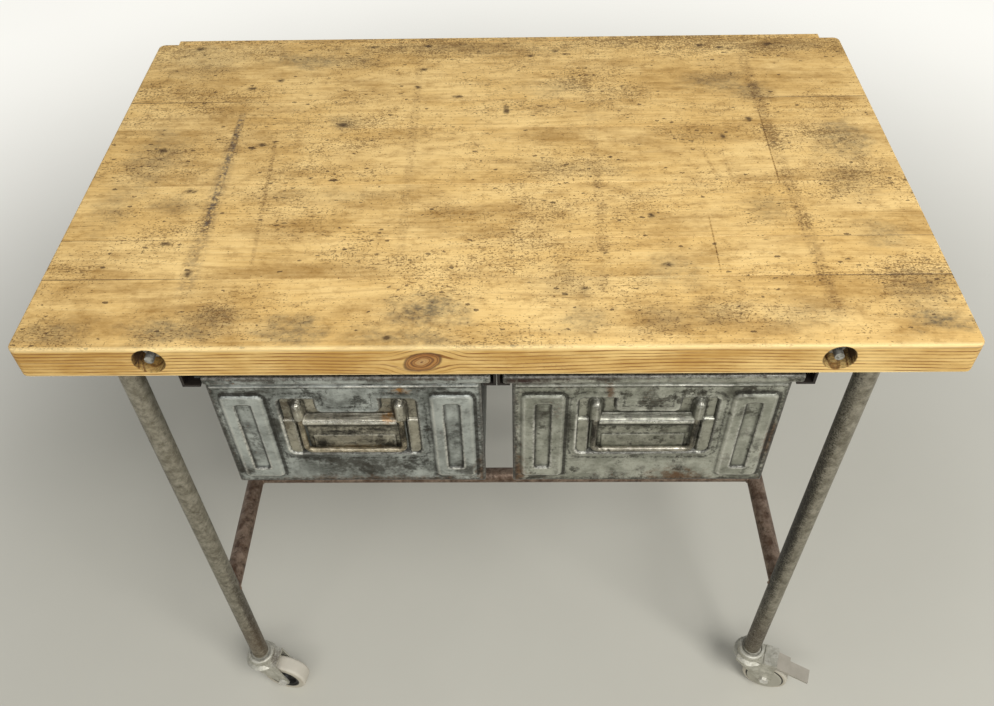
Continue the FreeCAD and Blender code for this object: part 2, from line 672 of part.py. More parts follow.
def make_swivel_head():
    """The round head under the leg, dished so that a rim stands round the collar."""
    head = rod(SWIVEL_HEAD_RADIUS, V(0, 0, SWIVEL_HEAD_LOW_Z), V(0, 0, SWIVEL_HEAD_TOP_Z))
    rims = [e for e in head.Edges if e.BoundBox.ZLength < 0.01]
    head = head.makeFillet(SWIVEL_HEAD_EDGE, rims)
    dish = rod(SWIVEL_HEAD_RADIUS - SWIVEL_RIM_WIDTH, V(0, 0, SWIVEL_HEAD_TOP_Z - SWIVEL_RECESS),
               V(0, 0, SWIVEL_HEAD_TOP_Z + OVERCUT))
    return head.cut(dish)


def make_cheek(y, toe_x):
    """One side plate of the fork, from the bridge down to the axle's eye."""
    outline = [V(FORK_HEEL_X, y, BRIDGE_TOP_Z), V(toe_x, y, BRIDGE_TOP_Z),
               V(CASTER_TRAIL + CHEEK_FRONT[0], y, AXLE_Z + CHEEK_FRONT[1]),
               V(CASTER_TRAIL + CHEEK_BACK[0], y, AXLE_Z + CHEEK_BACK[1]),
               V(FORK_HEEL_X, y, FORK_HEEL_Z)]
    outline.append(outline[0])
    plate = Part.Face(Part.makePolygon(outline)).extrude(V(0, FORK_PLATE, 0))
    eye = rod(AXLE_EYE_RADIUS, V(CASTER_TRAIL, y, AXLE_Z), V(CASTER_TRAIL, y + FORK_PLATE, AXLE_Z))
    return plate.fuse(eye)


def make_fork(braked):
    """The swivel head, the bridge over the wheel, and the cheeks that hold the axle."""
    inner = FORK_INNER_WIDTH / 2
    outer = inner + FORK_PLATE
    through = outer + OVERCUT
    toe_x = BRAKED_FORK_TOE_X if braked else FORK_TOE_X
    bridge = box(FORK_HEEL_X, toe_x, -outer, outer, BRIDGE_LOW_Z, BRIDGE_TOP_Z)
    cheeks = [make_cheek(-outer, toe_x), make_cheek(inner, toe_x)]
    crown = Part.makeCone(CROWN_RADIUS, SWIVEL_HEAD_RADIUS - SWIVEL_HEAD_EDGE, CROWN_TOP_Z - BRIDGE_LOW_Z,
                          V(0, 0, BRIDGE_LOW_Z))
    fork = fuse_all([make_swivel_head(), crown, bridge] + cheeks)
    cutters = [rod(KINGPIN_RADIUS + RUNNING_CLEARANCE, V(0, 0, RIVET_LOW_Z), V(0, 0, CASTER_HEIGHT)),
               rod(AXLE_RADIUS, V(CASTER_TRAIL, -through, AXLE_Z), V(CASTER_TRAIL, through, AXLE_Z))]
    if braked:
        cutters.append(box(PEDAL_PIVOT_X - PEDAL_ROOM, toe_x + OVERCUT, -inner, inner,
                           BRIDGE_LOW_Z - OVERCUT, BRIDGE_TOP_Z + OVERCUT))
        cutters.append(rod(PEDAL_PIN_RADIUS + RUNNING_CLEARANCE, V(PEDAL_PIVOT_X, -through, PEDAL_PIVOT_Z),
                           V(PEDAL_PIVOT_X, through, PEDAL_PIVOT_Z)))
    fork = fork.cut(cutters)
    if braked:
        fork = fork.fuse(box(COVER_FRONT_X, toe_x, -outer, outer,
                             BRIDGE_TOP_Z, BRIDGE_TOP_Z + COVER_THICKNESS)).removeSplitter()
    return fork


def make_axle():
    """The bolt that carries the wheel, its head on one cheek and its nut on the other."""
    outer = FORK_INNER_WIDTH / 2 + FORK_PLATE
    centre = V(CASTER_TRAIL, 0, AXLE_Z)
    head_end = centre - V(0, outer + AXLE_HEAD_HEIGHT, 0)
    nut_end = centre + V(0, outer + AXLE_NUT_HEIGHT, 0)
    shaft = rod(AXLE_RADIUS, head_end, nut_end + V(0, AXLE_END, 0))
    head = hexagon_prism(AXLE_HEX_WIDTH, head_end, centre - V(0, outer, 0))
    nut = hexagon_prism(AXLE_HEX_WIDTH, centre + V(0, outer, 0), nut_end)
    return fuse_all([shaft, head, nut])


def make_hub():
    """The wheel's centre: a boss on the axle, a thin web, and a rim under the tyre."""
    boss_half = FORK_INNER_WIDTH / 2 - HUB_BOSS_GAP
    rim_half = WHEEL_WIDTH / 2 - HUB_RIM_SETBACK
    rim_inner = HUB_RADIUS - HUB_RIM_WIDTH
    one_side = [(AXLE_RADIUS + RUNNING_CLEARANCE, boss_half), (HUB_BOSS_RADIUS, boss_half),
                (HUB_BOSS_RADIUS + 2 * HUB_DRAFT, HUB_WEB_HALF), (rim_inner - HUB_DRAFT, HUB_WEB_HALF),
                (rim_inner, rim_half), (HUB_RADIUS, rim_half)]
    other_side = [(radius, -y) for radius, y in reversed(one_side)]
    return turned(one_side + other_side)


def make_tyre():
    half = WHEEL_WIDTH / 2
    ring = turned([(HUB_RADIUS, -half), (WHEEL_RADIUS, -half), (WHEEL_RADIUS, half), (HUB_RADIUS, half)])
    tread_edges = []
    for edge in ring.Edges:
        bounds = edge.BoundBox
        if bounds.YLength < 0.01 and bounds.XLength > 2 * HUB_RADIUS + 1:
            tread_edges.append(edge)
    return ring.makeFillet(TREAD_EDGE_RADIUS, tread_edges)


def make_thread_guards():
    """A disc on each side, between the wheel and the fork cheek."""
    inner = WHEEL_WIDTH / 2 + GUARD_GAP
    outer = FORK_INNER_WIDTH / 2
    guard = turned([(GUARD_BORE_RADIUS, inner), (GUARD_RADIUS, inner), (GUARD_RADIUS, inner + GUARD_EDGE),
                    (GUARD_RADIUS - GUARD_BEVEL, outer), (GUARD_BORE_RADIUS, outer)])
    return [guard, guard.mirror(V(0, 0, 0), V(0, 1, 0))]


def make_pedal():
    """The brake lever: a wide root between the fork plates and a narrower toe tab."""
    half = FORK_INNER_WIDTH / 2 - PEDAL_SIDE_GAP
    pin_half = FORK_INNER_WIDTH / 2 + FORK_PLATE
    root = box(0, PEDAL_ROOT_LENGTH, -half, half, *PEDAL_ROOT_Z)
    toe = box(PEDAL_ROOT_LENGTH, PEDAL_LENGTH, -half, PEDAL_TOE_SIDE, *PEDAL_TOE_Z)
    barrel = rod(PEDAL_BARREL_RADIUS, V(0, -half, 0), V(0, half, 0))
    pins = rod(PEDAL_PIN_RADIUS, V(0, -pin_half, 0), V(0, pin_half, 0))
    lever = fuse_all([root, toe, barrel, pins])
    lever.rotate(V(0, 0, 0), V(0, 1, 0), PEDAL_SLOPE)
    lever.translate(V(PEDAL_PIVOT_X, 0, PEDAL_PIVOT_Z))
    return lever


def place_caster(shapes, corner):
    x, y = CORNERS[corner]
    placed = []
    for shape in shapes:
        copy = shape.copy()
        copy.rotate(V(0, 0, 0), V(0, 0, 1), TRAIL_ANGLE[corner])
        copy.translate(V(x, y, 0))
        placed.append(copy)
    return placed


stems = []
for corner in CORNERS:
    braked = corner in BRAKED
    stems += place_caster([make_stem()], corner)
    nodes["caster_fork_" + corner] = place_caster([make_fork(braked)], corner)
    nodes["caster_axle_" + corner] = place_caster([make_axle()], corner)
    nodes["wheel_hub_" + corner] = place_caster([make_hub()], corner)
    nodes["wheel_tyre_" + corner] = place_caster([make_tyre()], corner)
    if braked:
        nodes["thread_guards_" + corner] = place_caster(make_thread_guards(), corner)
        nodes["brake_pedal_" + corner] = place_caster([make_pedal()], corner)
nodes["caster_stems"] = stems


# ---------------------------------------------------------------- output
os.makedirs("parts", exist_ok=True)
for name, solids in nodes.items():
    shape = solids[0] if len(solids) == 1 else Part.makeCompound(solids)
    shape.exportStep("parts/%s.step" % name)
    print("%-28s solids %2d  valid %s  volume %9.1f cm3" % (
        name, len(shape.Solids), shape.isValid(), shape.Volume / 1000))
whole = Part.makeCompound([s for solids in nodes.values() for s in solids]).BoundBox
print("nodes %d" % len(nodes))
print("box x %.2f %.2f  y %.2f %.2f  z %.2f %.2f" % (
    whole.XMin, whole.XMax, whole.YMin, whole.YMax, whole.ZMin, whole.ZMax))
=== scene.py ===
# %% [markdown]
# # A wheeled workbench
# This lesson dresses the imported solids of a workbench: a worn pine top clamped by two
# threaded rods, a welded pipe frame on swivel casters, and two pressed-steel drawers
# with drop handles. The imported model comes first, as a fixed frame. Its parts never
# move here: each one keeps its shape and gets a finish, or a finer piece takes its
# place.

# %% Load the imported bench
import json
import math

import bmesh
import bpy
import numpy
from mathutils import Matrix, Vector


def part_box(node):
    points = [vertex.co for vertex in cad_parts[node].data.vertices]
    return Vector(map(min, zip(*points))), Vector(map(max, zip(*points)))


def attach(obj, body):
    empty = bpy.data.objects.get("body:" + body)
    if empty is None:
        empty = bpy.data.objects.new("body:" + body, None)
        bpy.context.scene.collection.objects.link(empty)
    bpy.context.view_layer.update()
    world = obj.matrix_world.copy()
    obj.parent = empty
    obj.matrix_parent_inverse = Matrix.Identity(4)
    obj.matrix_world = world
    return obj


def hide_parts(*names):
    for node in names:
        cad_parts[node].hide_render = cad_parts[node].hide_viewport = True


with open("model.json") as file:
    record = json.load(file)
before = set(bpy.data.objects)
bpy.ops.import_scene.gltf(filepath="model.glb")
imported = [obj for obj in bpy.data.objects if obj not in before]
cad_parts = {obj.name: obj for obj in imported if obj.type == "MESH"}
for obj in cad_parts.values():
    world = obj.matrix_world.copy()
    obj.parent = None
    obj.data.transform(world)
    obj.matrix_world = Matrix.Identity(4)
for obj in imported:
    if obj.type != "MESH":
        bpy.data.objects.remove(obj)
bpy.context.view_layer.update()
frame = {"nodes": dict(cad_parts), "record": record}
nodes = frame["nodes"]

# %% [markdown]
# ## The camera
# The bench is seen from standing height, just in front of it and looking steeply down,
# so the top fills the upper half of the frame. A camera could be aimed with a Track To
# constraint, but a small lean of the horizon is easier to set by building the three
# directions of the camera and putting them in a matrix.

# %% Camera
CAMERA_PLACE = Vector((0.01956, -0.9531, 1.58167))
CAMERA_YAW = math.radians(-1.614)
CAMERA_PITCH = math.radians(47.225)
CAMERA_ROLL = math.radians(-1.489)
CAMERA_LENS_MM = 33.293


def aimed_matrix(place, yaw, pitch, roll):
    """Where a camera stands and how it is turned: yaw to the right, pitch down."""
    ahead = Vector((math.sin(yaw) * math.cos(pitch), math.cos(yaw) * math.cos(pitch), -math.sin(pitch)))
    level = Vector((math.cos(yaw), -math.sin(yaw), 0.0))
    above = level.cross(ahead)
    right = level * math.cos(roll) + above * math.sin(roll)
    up = above * math.cos(roll) - level * math.sin(roll)
    turn = Matrix((right, up, -ahead)).transposed()
    return Matrix.Translation(place) @ turn.to_4x4()


bpy.ops.object.camera_add()
camera = bpy.context.object
camera.data.lens = CAMERA_LENS_MM
camera.matrix_world = aimed_matrix(CAMERA_PLACE, CAMERA_YAW, CAMERA_PITCH, CAMERA_ROLL)
bpy.context.scene.camera = camera
print("camera at", [round(v, 3) for v in camera.location])

# %% [markdown]
# ## The studio
# Bare metal shows what stands round it, so the light comes from wide soft boxes and not
# from points. One large box above the front right makes the soft shadows fall to the
# back left. A long, low one in front draws a bright line along everything that lies
# level, such as the handles. The world fills the rest. Together they light a white card
# to about white, so each colour renders close to the value it is given.

# %% Lights and world
bpy.context.scene.view_settings.view_transform = "Standard"


def add_soft_box(name, place, target, width, height, watts):
    bpy.ops.object.light_add(type="AREA", location=place)
    box = bpy.context.object
    box.name = name
    box.data.shape = "RECTANGLE"
    box.data.size, box.data.size_y = width, height
    box.data.energy = watts
    box.rotation_euler = (Vector(target) - Vector(place)).to_track_quat("-Z", "Y").to_euler()


add_soft_box("key_box", (1.6, -2.2, 3.6), (0.0, 0.0, 0.6), 1.7, 1.7, 112)
add_soft_box("strip_box", (-0.1, -2.3, 2.3), (0.0, -0.2, 0.7), 2.6, 0.35, 25)
world = bpy.data.worlds.new("studio_world")
bpy.context.scene.world = world
world.use_nodes = True
world.node_tree.nodes["Background"].inputs["Color"].default_value = (0.96, 0.98, 1.0, 1)
world.node_tree.nodes["Background"].inputs["Strength"].default_value = 0.30

# %% [markdown]
# ## Small tools for materials
# Every finish here is worked out by nodes from the place on the piece, so it has no
# pictures. These short helpers add one node each and hand back its output, which keeps
# a finish as short to read as a recipe.

# %% Node helpers


def put(tree, kind, inputs=None, **settings):
    """One shader node with its settings, and its inputs as numbers, colours or links."""
    made = tree.nodes.new("ShaderNode" + kind)
    for name, value in settings.items():
        setattr(made, name, value)
    for name, value in (inputs or {}).items():
        if isinstance(value, bpy.types.NodeSocket):
            tree.links.new(value, made.inputs[name])
        else:
            made.inputs[name].default_value = value
    return made


def calc(tree, operation, a, b=0.0, clamp=False):
    return put(tree, "Math", {0: a, 1: b}, operation=operation, use_clamp=clamp).outputs[0]


def times(tree, a, b, clamp=False):
    return calc(tree, "MULTIPLY", a, b, clamp)


def scaled(tree, vector, factors):
    return put(tree, "VectorMath", {0: vector, 1: factors}, operation="MULTIPLY").outputs[0]


def moved(tree, vector, offset):
    return put(tree, "VectorMath", {0: vector, 1: offset}, operation="ADD").outputs[0]


def apart(tree, vector, other):
    """The way from the other place to this one."""
    return put(tree, "VectorMath", {0: vector, 1: other}, operation="SUBTRACT").outputs[0]


def length(tree, vector):
    return put(tree, "VectorMath", {0: vector}, operation="LENGTH").outputs["Value"]


def noise(tree, vector, scale, detail=3.0, rough=0.55, seed=0.0):
    inputs = {"Vector": vector, "W": seed, "Scale": scale, "Detail": detail, "Roughness": rough}
    return put(tree, "TexNoise", inputs, noise_dimensions="4D").outputs["Fac"]


def fade(tree, value, start, stop):
    """0 up to start, 1 from stop on, and a smooth step between; start may be the larger."""
    inputs = {"Value": value, "From Min": start, "From Max": stop}
    return put(tree, "MapRange", inputs, interpolation_type="SMOOTHSTEP").outputs["Result"]


def tint(tree, mask, below, above):
    """One colour where the mask is 0 and another where it is 1."""
    inputs = {0: mask, 6: below, 7: above}
    return put(tree, "Mix", inputs, data_type="RGBA").outputs[2]


def strongest(tree, masks):
    """The largest of several masks at each spot."""
    total = masks[0]
    for mask in masks[1:]:
        total = calc(tree, "MAXIMUM", total, mask)
    return total


def rgb(red, green, blue):
    """A colour from its 0 to 255 values on a screen, as the light it gives back."""
    def linear(value):
        share = value / 255
        return share / 12.92 if share <= 0.04045 else ((share + 0.055) / 1.055) ** 2.4

    return (linear(red), linear(green), linear(blue), 1.0)


def start_group(name, inputs, outputs):
    """A shader node group with named sockets; returns it with its inner ends."""
    group = bpy.data.node_groups.new(name, "ShaderNodeTree")
    for label, value in inputs.items():
        kind = "NodeSocketVector" if isinstance(value, tuple) else "NodeSocketFloat"
        socket = group.interface.new_socket(label, in_out="INPUT", socket_type=kind)
        socket.default_value = value
    for label in outputs:
        group.interface.new_socket(label, in_out="OUTPUT", socket_type="NodeSocketFloat")
    return group, group.nodes.new("NodeGroupInput").outputs, group.nodes.new("NodeGroupOutput").inputs


def use_group(tree, group, **inputs):
    made = put(tree, "Group", node_tree=group)
    for name, value in inputs.items():
        socket = made.inputs[name.replace("_", " ")]
        if isinstance(value, bpy.types.NodeSocket):
            tree.links.new(value, socket)
        else:
            socket.default_value = value
    return made.outputs


def start_material(name, roughness=0.5, metallic=0.0):
    """A new material with its tree, its shader and the place on the piece."""
    material = bpy.data.materials.new(name)
    material.use_nodes = True
    tree = material.node_tree
    shader = tree.nodes["Principled BSDF"]
    shader.inputs["Roughness"].default_value = roughness
    shader.inputs["Metallic"].default_value = metallic
    place = put(tree, "TexCoord").outputs["Object"]
    return material, tree, shader, place


def set_bump(tree, shader, height, distance, strength=1.0):
    bump = put(tree, "Bump", {"Height": height, "Distance": distance, "Strength": strength})
    tree.links.new(bump.outputs["Normal"], shader.inputs["Normal"])


print("node helpers ready")

# %% [markdown]
# ## The floor
# A plain pale floor holds the bench and its shadow. A single plane would do, and it
# gets a faint cloudiness so that it doesn't look cut from paper. Away from the bench
# the lamps grow weak, so there the floor shows the camera a pale glow of its own, which
# lights nothing.

# %% Floor
FLOOR_DARK = rgb(192, 189, 176)
FLOOR_LIGHT = rgb(204, 201, 188)
FLOOR_GLOW = rgb(216, 215, 212)
BLACK = rgb(0, 0, 0)

bpy.ops.mesh.primitive_plane_add(size=16, location=(0, 0, 0))
floor = bpy.context.object
floor.name = "floor"
floor_paint, tree, shader, place = start_material("floor_paint", 0.75)
floor_cloud = noise(tree, place, 2.2, 4.0)
tree.links.new(tint(tree, floor_cloud, FLOOR_DARK, FLOOR_LIGHT), shader.inputs["Base Color"])
path = put(tree, "LightPath").outputs
seen = strongest(tree, [path["Is Camera Ray"], path["Is Glossy Ray"], path["Is Transmission Ray"]])
far_off = fade(tree, length(tree, place), 0.7, 2.7)
glow = tint(tree, times(tree, seen, far_off), BLACK, FLOOR_GLOW)
tree.links.new(glow, shader.inputs["Emission Color"])
shader.inputs["Emission Strength"].default_value = 1.0
floor.data.materials.append(floor_paint)
print("floor", floor.dimensions[0], "m wide")

# %% [markdown]
# ## What old pine is made of
# Flat-sawn pine shows slices through the growth rings of a trunk. The rings are circles
# round a pith that lies below the board, so one formula draws the long lines on the
# face, the fine lines on the edge and the arcs on the end, and they meet at the
# arrises. The trunk wanders a little along its length, which gives the pointed arches.
# Fibres and broad patches of colour lie over the rings. All this is one node group,
# because every board uses it with a pith and a seed of its own.

# %% Pine grain group
RING_SPACING = 0.0050


def make_pine_grain():
    inputs = {"Place": (0.0, 0.0, 0.0), "Pith": (0.0, 0.0, 0.0), "Seed": 0.0}
    group, given, result = start_group("pine_grain", inputs, ["Rings", "Fibre", "Patches"])
    slow = scaled(group, given["Place"], (1.6, 3.0, 3.0))
    wander = put(group, "TexNoise", {"Vector": slow, "W": given["Seed"], "Scale": 1.0, "Detail": 1.0},
                 noise_dimensions="4D").outputs["Color"]
    centred = apart(group, wander, (0.5, 0.5, 0.5))
    from_pith = apart(group, given["Place"], given["Pith"])
    shifted = moved(group, from_pith, scaled(group, centred, (0.0, 0.11, 0.05)))
    radius = length(group, scaled(group, shifted, (0.0, 1.0, 1.0)))
    uneven = noise(group, scaled(group, given["Place"], (6.0, 60.0, 60.0)), 1.0, 3.0, 0.6, given["Seed"])
    turns = calc(group, "ADD", times(group, radius, 2 * math.pi / RING_SPACING), times(group, uneven, 7.0))
    wave = calc(group, "SINE", turns)
    group.links.new(fade(group, wave, -0.1, 0.98), result["Rings"])
    thin = scaled(group, given["Place"], (10.0, 520.0, 520.0))
    group.links.new(noise(group, thin, 1.0, 4.0, 0.72, given["Seed"]), result["Fibre"])
    broad = scaled(group, given["Place"], (7.0, 16.0, 16.0))
    group.links.new(fade(group, noise(group, broad, 1.0, 5.0, 0.65, given["Seed"]), 0.36, 0.64), result["Patches"])
    return group


pine_grain = make_pine_grain()
print("pine_grain", len(pine_grain.nodes), "nodes")

# %% [markdown]
# ## Marks of use on the top
# Years of work left three kinds of mark: soft stains from oil and iron, straight bands
# where a rail or a strip of metal lay across the boards, and dark specks, dashes and
# pits where dirt sits in dents. A stain and a band are each a distance made ragged by
# noise and then faded out. Specks are the peaks of a fine noise, and how many rise
# above the limit follows a second, broad noise, so they gather in patches and bands.
# The larger pits come from a Voronoi pattern in which only some of the cells hold one.

# %% Stain, band, pit and speck groups


def make_stain():
    inputs = {"Place": (0.0, 0.0, 0.0), "Centre": (0.0, 0.0, 0.0), "Reach": (1.0, 1.0, 1.0), "Ragged": 0.5}
    group, given, result = start_group("stain", inputs, ["Mask"])
    offset = apart(group, given["Place"], given["Centre"])
    shares = put(group, "VectorMath", {0: offset, 1: given["Reach"]}, operation="DIVIDE").outputs[0]
    distance = length(group, shares)
    uneven = times(group, calc(group, "SUBTRACT", given["Ragged"], 0.5), 3.2)
    group.links.new(fade(group, calc(group, "ADD", distance, uneven), 1.25, 0.1), result["Mask"])
    return group


def make_band():
    inputs = {"Place": (0.0, 0.0, 0.0), "At": 0.0, "Lean": 0.0, "Half Width": 0.01, "From": -0.1, "To": 0.1,
              "Ragged": 0.5}
    group, given, result = start_group("band", inputs, ["Mask"])
    parts = put(group, "SeparateXYZ", {0: given["Place"]}).outputs
    line = calc(group, "ADD", given["At"], times(group, given["Lean"], parts["Y"]))
    distance = calc(group, "ABSOLUTE", calc(group, "SUBTRACT", parts["X"], line))
    share = calc(group, "DIVIDE", distance, given["Half Width"])
    uneven = times(group, calc(group, "SUBTRACT", given["Ragged"], 0.5), 1.8)
    side = fade(group, calc(group, "ADD", share, uneven), 1.35, 0.5)
    near = fade(group, parts["Y"], given["From"], calc(group, "ADD", given["From"], 0.035))
    far = fade(group, parts["Y"], given["To"], calc(group, "SUBTRACT", given["To"], 0.035))
    group.links.new(times(group, side, times(group, near, far)), result["Mask"])
    return group


def make_pits():
    inputs = {"Place": (0.0, 0.0, 0.0), "Scale": 100.0, "Size": 0.3, "Share": 0.3, "Crowding": 0.5}
    group, given, result = start_group("pits", inputs, ["Mask"])
    shake = put(group, "TexNoise", {"Vector": given["Place"], "Scale": 260.0, "Detail": 2.0}).outputs["Color"]
    shifted = put(group, "VectorMath", {0: shake, 1: (0.005, 0.005, 0.0), 2: given["Place"]},
                  operation="MULTIPLY_ADD").outputs[0]
    lying = scaled(group, shifted, (0.5, 1.0, 1.0))
    cells = put(group, "TexVoronoi", {"Vector": lying, "Scale": given["Scale"]}).outputs
    lot = put(group, "SeparateColor", {0: cells["Color"]}).outputs
    holds = calc(group, "LESS_THAN", lot["Red"], times(group, given["Share"], given["Crowding"]))
    size = times(group, given["Size"], calc(group, "ADD", lot["Green"], 0.15))
    inside = fade(group, calc(group, "SUBTRACT", cells["Distance"], size), 0.03, -0.08)
    group.links.new(times(group, inside, holds), result["Mask"])
    return group


def make_specks():
    """Peaks of a fine noise: Stretch sets their shape, Amount how many there are."""
    inputs = {"Place": (0.0, 0.0, 0.0), "Stretch": (1.0, 1.0, 1.0), "Amount": 0.5, "Limit": 0.64, "Seed": 0.0}
    group, given, result = start_group("specks", inputs, ["Mask"])
    drawn = put(group, "VectorMath", {0: given["Place"], 1: given["Stretch"]}, operation="MULTIPLY").outputs[0]
    grains = noise(group, drawn, 1.0, 2.0, 0.55, given["Seed"])
    raised = calc(group, "ADD", grains, times(group, calc(group, "SUBTRACT", given["Amount"], 0.5), 0.16))
    group.links.new(fade(group, calc(group, "SUBTRACT", raised, given["Limit"]), 0.0, 0.05), result["Mask"])
    return group


stain_group = make_stain()
band_group = make_band()
pit_group = make_pits()
speck_group = make_specks()
print("groups for marks ready")

# %% [markdown]
# ## Where the marks lie
# The lists below give each mark by its place on the top, in metres. A board only
# carries the marks that lie on it, so its material stays small.

# %% Marks on the top
STAINS = [   # x, y, reach in x, reach in y, strength
    (-0.470, -0.290, 0.060, 0.026, 0.60), (-0.345, -0.290, 0.070, 0.022, 0.80), (-0.304, -0.270, 0.045, 0.026, 0.60),
    (-0.212, -0.288, 0.042, 0.028, 0.85), (-0.125, -0.294, 0.040, 0.018, 0.60), (-0.070, -0.262, 0.050, 0.030, 1.00),
    (-0.090, -0.300, 0.050, 0.016, 0.75), (0.088, -0.276, 0.034, 0.028, 0.60), (0.180, -0.274, 0.040, 0.022, 0.45),
    (0.228, -0.268, 0.045, 0.026, 0.45), (0.318, -0.272, 0.050, 0.030, 0.35), (0.460, -0.280, 0.045, 0.018, 1.00),
    (-0.435, 0.020, 0.040, 0.070, 0.55), (-0.455, -0.080, 0.030, 0.060, 0.45), (-0.430, 0.250, 0.070, 0.060, 0.40),
    (-0.260, 0.252, 0.090, 0.022, 0.75), (-0.200, 0.095, 0.026, 0.024, 0.55), (0.300, 0.185, 0.060, 0.026, 0.60),
    (0.345, 0.160, 0.030, 0.030, 0.75), (0.077, 0.172, 0.050, 0.022, 0.45), (0.440, 0.045, 0.045, 0.050, 0.75),
    (0.425, -0.040, 0.050, 0.040, 0.45), (0.190, -0.205, 0.045, 0.035, 0.45), (0.083, -0.216, 0.050, 0.035, 0.35),
    (0.455, -0.230, 0.045, 0.035, 0.60), (0.440, -0.140, 0.035, 0.030, 0.50), (0.318, -0.090, 0.030, 0.030, 0.45),
    (0.090, -0.010, 0.080, 0.022, 0.35), (-0.050, 0.285, 0.200, 0.022, 0.35), (0.400, 0.285, 0.090, 0.022, 0.40),
    (-0.385, -0.075, 0.050, 0.022, 0.45), (-0.200, -0.060, 0.080, 0.018, 0.30),
]
BANDS = [    # x at the middle, lean, half width, from y, to y, strength, grey share
    (-0.3415, -0.012, 0.0050, -0.150, 0.128, 0.95, 0.9), (-0.3415, -0.010, 0.0110, -0.250, 0.060, 0.45, 0.7),
    (0.3520, -0.022, 0.0085, -0.285, 0.272, 0.52, 0.25), (0.3420, 0.020, 0.0012, -0.060, 0.140, 0.95, 0.0),
    (0.1215, 0.004, 0.0065, -0.250, 0.250, 0.28, 0.25), (-0.1105, -0.010, 0.0060, -0.200, 0.280, 0.26, 0.25),
    (-0.2850, -0.060, 0.0030, -0.210, 0.065, 0.42, 0.2), (0.2475, 0.008, 0.0010, -0.215, -0.090, 0.90, 0.0),
    (0.2620, -0.200, 0.0030, -0.045, 0.050, 0.45, 0.1), (0.2830, -0.080, 0.0030, -0.050, 0.025, 0.45, 0.1),
]
DENTS = [    # the largest single pits: x, y, reach in x, reach in y
    (-0.440, 0.290, 0.007, 0.005), (-0.186, 0.290, 0.009, 0.004), (-0.104, 0.291, 0.006, 0.004),
    (-0.107, 0.226, 0.006, 0.004), (-0.112, 0.180, 0.004, 0.004), (-0.056, 0.155, 0.006, 0.004),
    (-0.305, 0.045, 0.006, 0.003), (-0.375, -0.051, 0.007, 0.004), (-0.430, 0.034, 0.006, 0.005),
    (-0.307, 0.201, 0.005, 0.004), (-0.343, 0.180, 0.006, 0.003), (-0.205, 0.089, 0.008, 0.006),
    (0.079, 0.273, 0.005, 0.004), (0.095, 0.264, 0.006, 0.003), (0.045, 0.261, 0.005, 0.004),
    (0.291, 0.285, 0.007, 0.004), (0.318, 0.278, 0.006, 0.004), (0.388, 0.286, 0.006, 0.004),
    (0.327, 0.093, 0.005, 0.005), (0.288, 0.055, 0.004, 0.004), (0.181, -0.105, 0.005, 0.004),
    (0.190, -0.190, 0.006, 0.004), (0.095, -0.228, 0.005, 0.003), (-0.380, -0.149, 0.006, 0.004),
    (-0.342, -0.200, 0.004, 0.005), (-0.112, -0.300, 0.005, 0.003), (0.010, 0.120, 0.004, 0.010),
]
JOINTS = [(-0.209, 1.0), (-0.143, 0.6), (-0.040, 0.3), (0.080, 0.3), (0.146, 1.0)]   # y, how dark
TIE_X = (-0.361, 0.353)
TIE_Z = 0.8805
TOP_Z = 0.900
FRONT_Y = -0.315
KNOT = (-0.076, FRONT_Y, 0.8780)
KNOT_TILT = math.radians(20)
print(len(STAINS), "stains,", len(BANDS), "bands,", len(DENTS), "dents")

# %% [markdown]
# ## The finish of the pine boards
# The colour is built in layers, as a painter would glaze it: pale wood, growth rings,
# fibres, a brown film of handling, stains, bands, and last the specks and pits. The
# marks are kept to the upper face by a mask of the height. The upper arris is worn to
# pale wood, the joints between boards show as thin dark lines near the ends, and the
# sunk holes get a painted shade that deepens inward and spares their lower wall, with
# some dirt mixed in. The edge of the front board also holds a knot.

# %% Masks of the pine


def stain_mask(tree, place, ragged, low, high):
    masks = [0.0]
    for x, y, reach_x, reach_y, strength in STAINS:
        if low.y - reach_y < y < high.y + reach_y:
            mask = use_group(tree, stain_group, Place=place, Centre=(x, y, TOP_Z), Reach=(reach_x, reach_y, 1.0),
                             Ragged=ragged)["Mask"]
            masks.append(times(tree, mask, strength))
    return strongest(tree, masks)


def band_masks(tree, place, ragged, low, high):
    brown, grey = [0.0], [0.0]
    for x, lean, half, start, stop, strength, grey_share in BANDS:
        if stop > low.y and start < high.y:
            mask = use_group(tree, band_group, Place=place, At=x, Lean=lean, Half_Width=half, From=start, To=stop,
                             Ragged=ragged)["Mask"]
            brown.append(times(tree, mask, strength * (1 - grey_share)))
            grey.append(times(tree, mask, strength * grey_share))
    return strongest(tree, brown), strongest(tree, grey)


def dent_mask(tree, place, ragged, low, high):
    masks = [0.0]
    for x, y, reach_x, reach_y in DENTS:
        if low.y < y < high.y:
            masks.append(use_group(tree, stain_group, Place=place, Centre=(x, y, TOP_Z),
                                   Reach=(1.25 * reach_x, 1.25 * reach_y, 1.0), Ragged=ragged)["Mask"])
    return strongest(tree, masks)


def seam_mask(tree, parts, low, high):
    """Thin dark lines at a board's joints, strongest near the ends of the top."""
    seams = [0.0]
    for joint, strength in JOINTS:
        if low.y - 0.004 < joint < high.y + 0.004:
            distance = calc(tree, "ABSOLUTE", calc(tree, "SUBTRACT", parts["Y"], joint))
            seams.append(times(tree, fade(tree, distance, 0.0011, 0.0004), strength))
    ends = fade(tree, calc(tree, "ABSOLUTE", parts["X"]), 0.26, 0.42)
    return times(tree, strongest(tree, seams), calc(tree, "ADD", 0.10, times(tree, ends, 0.6)))


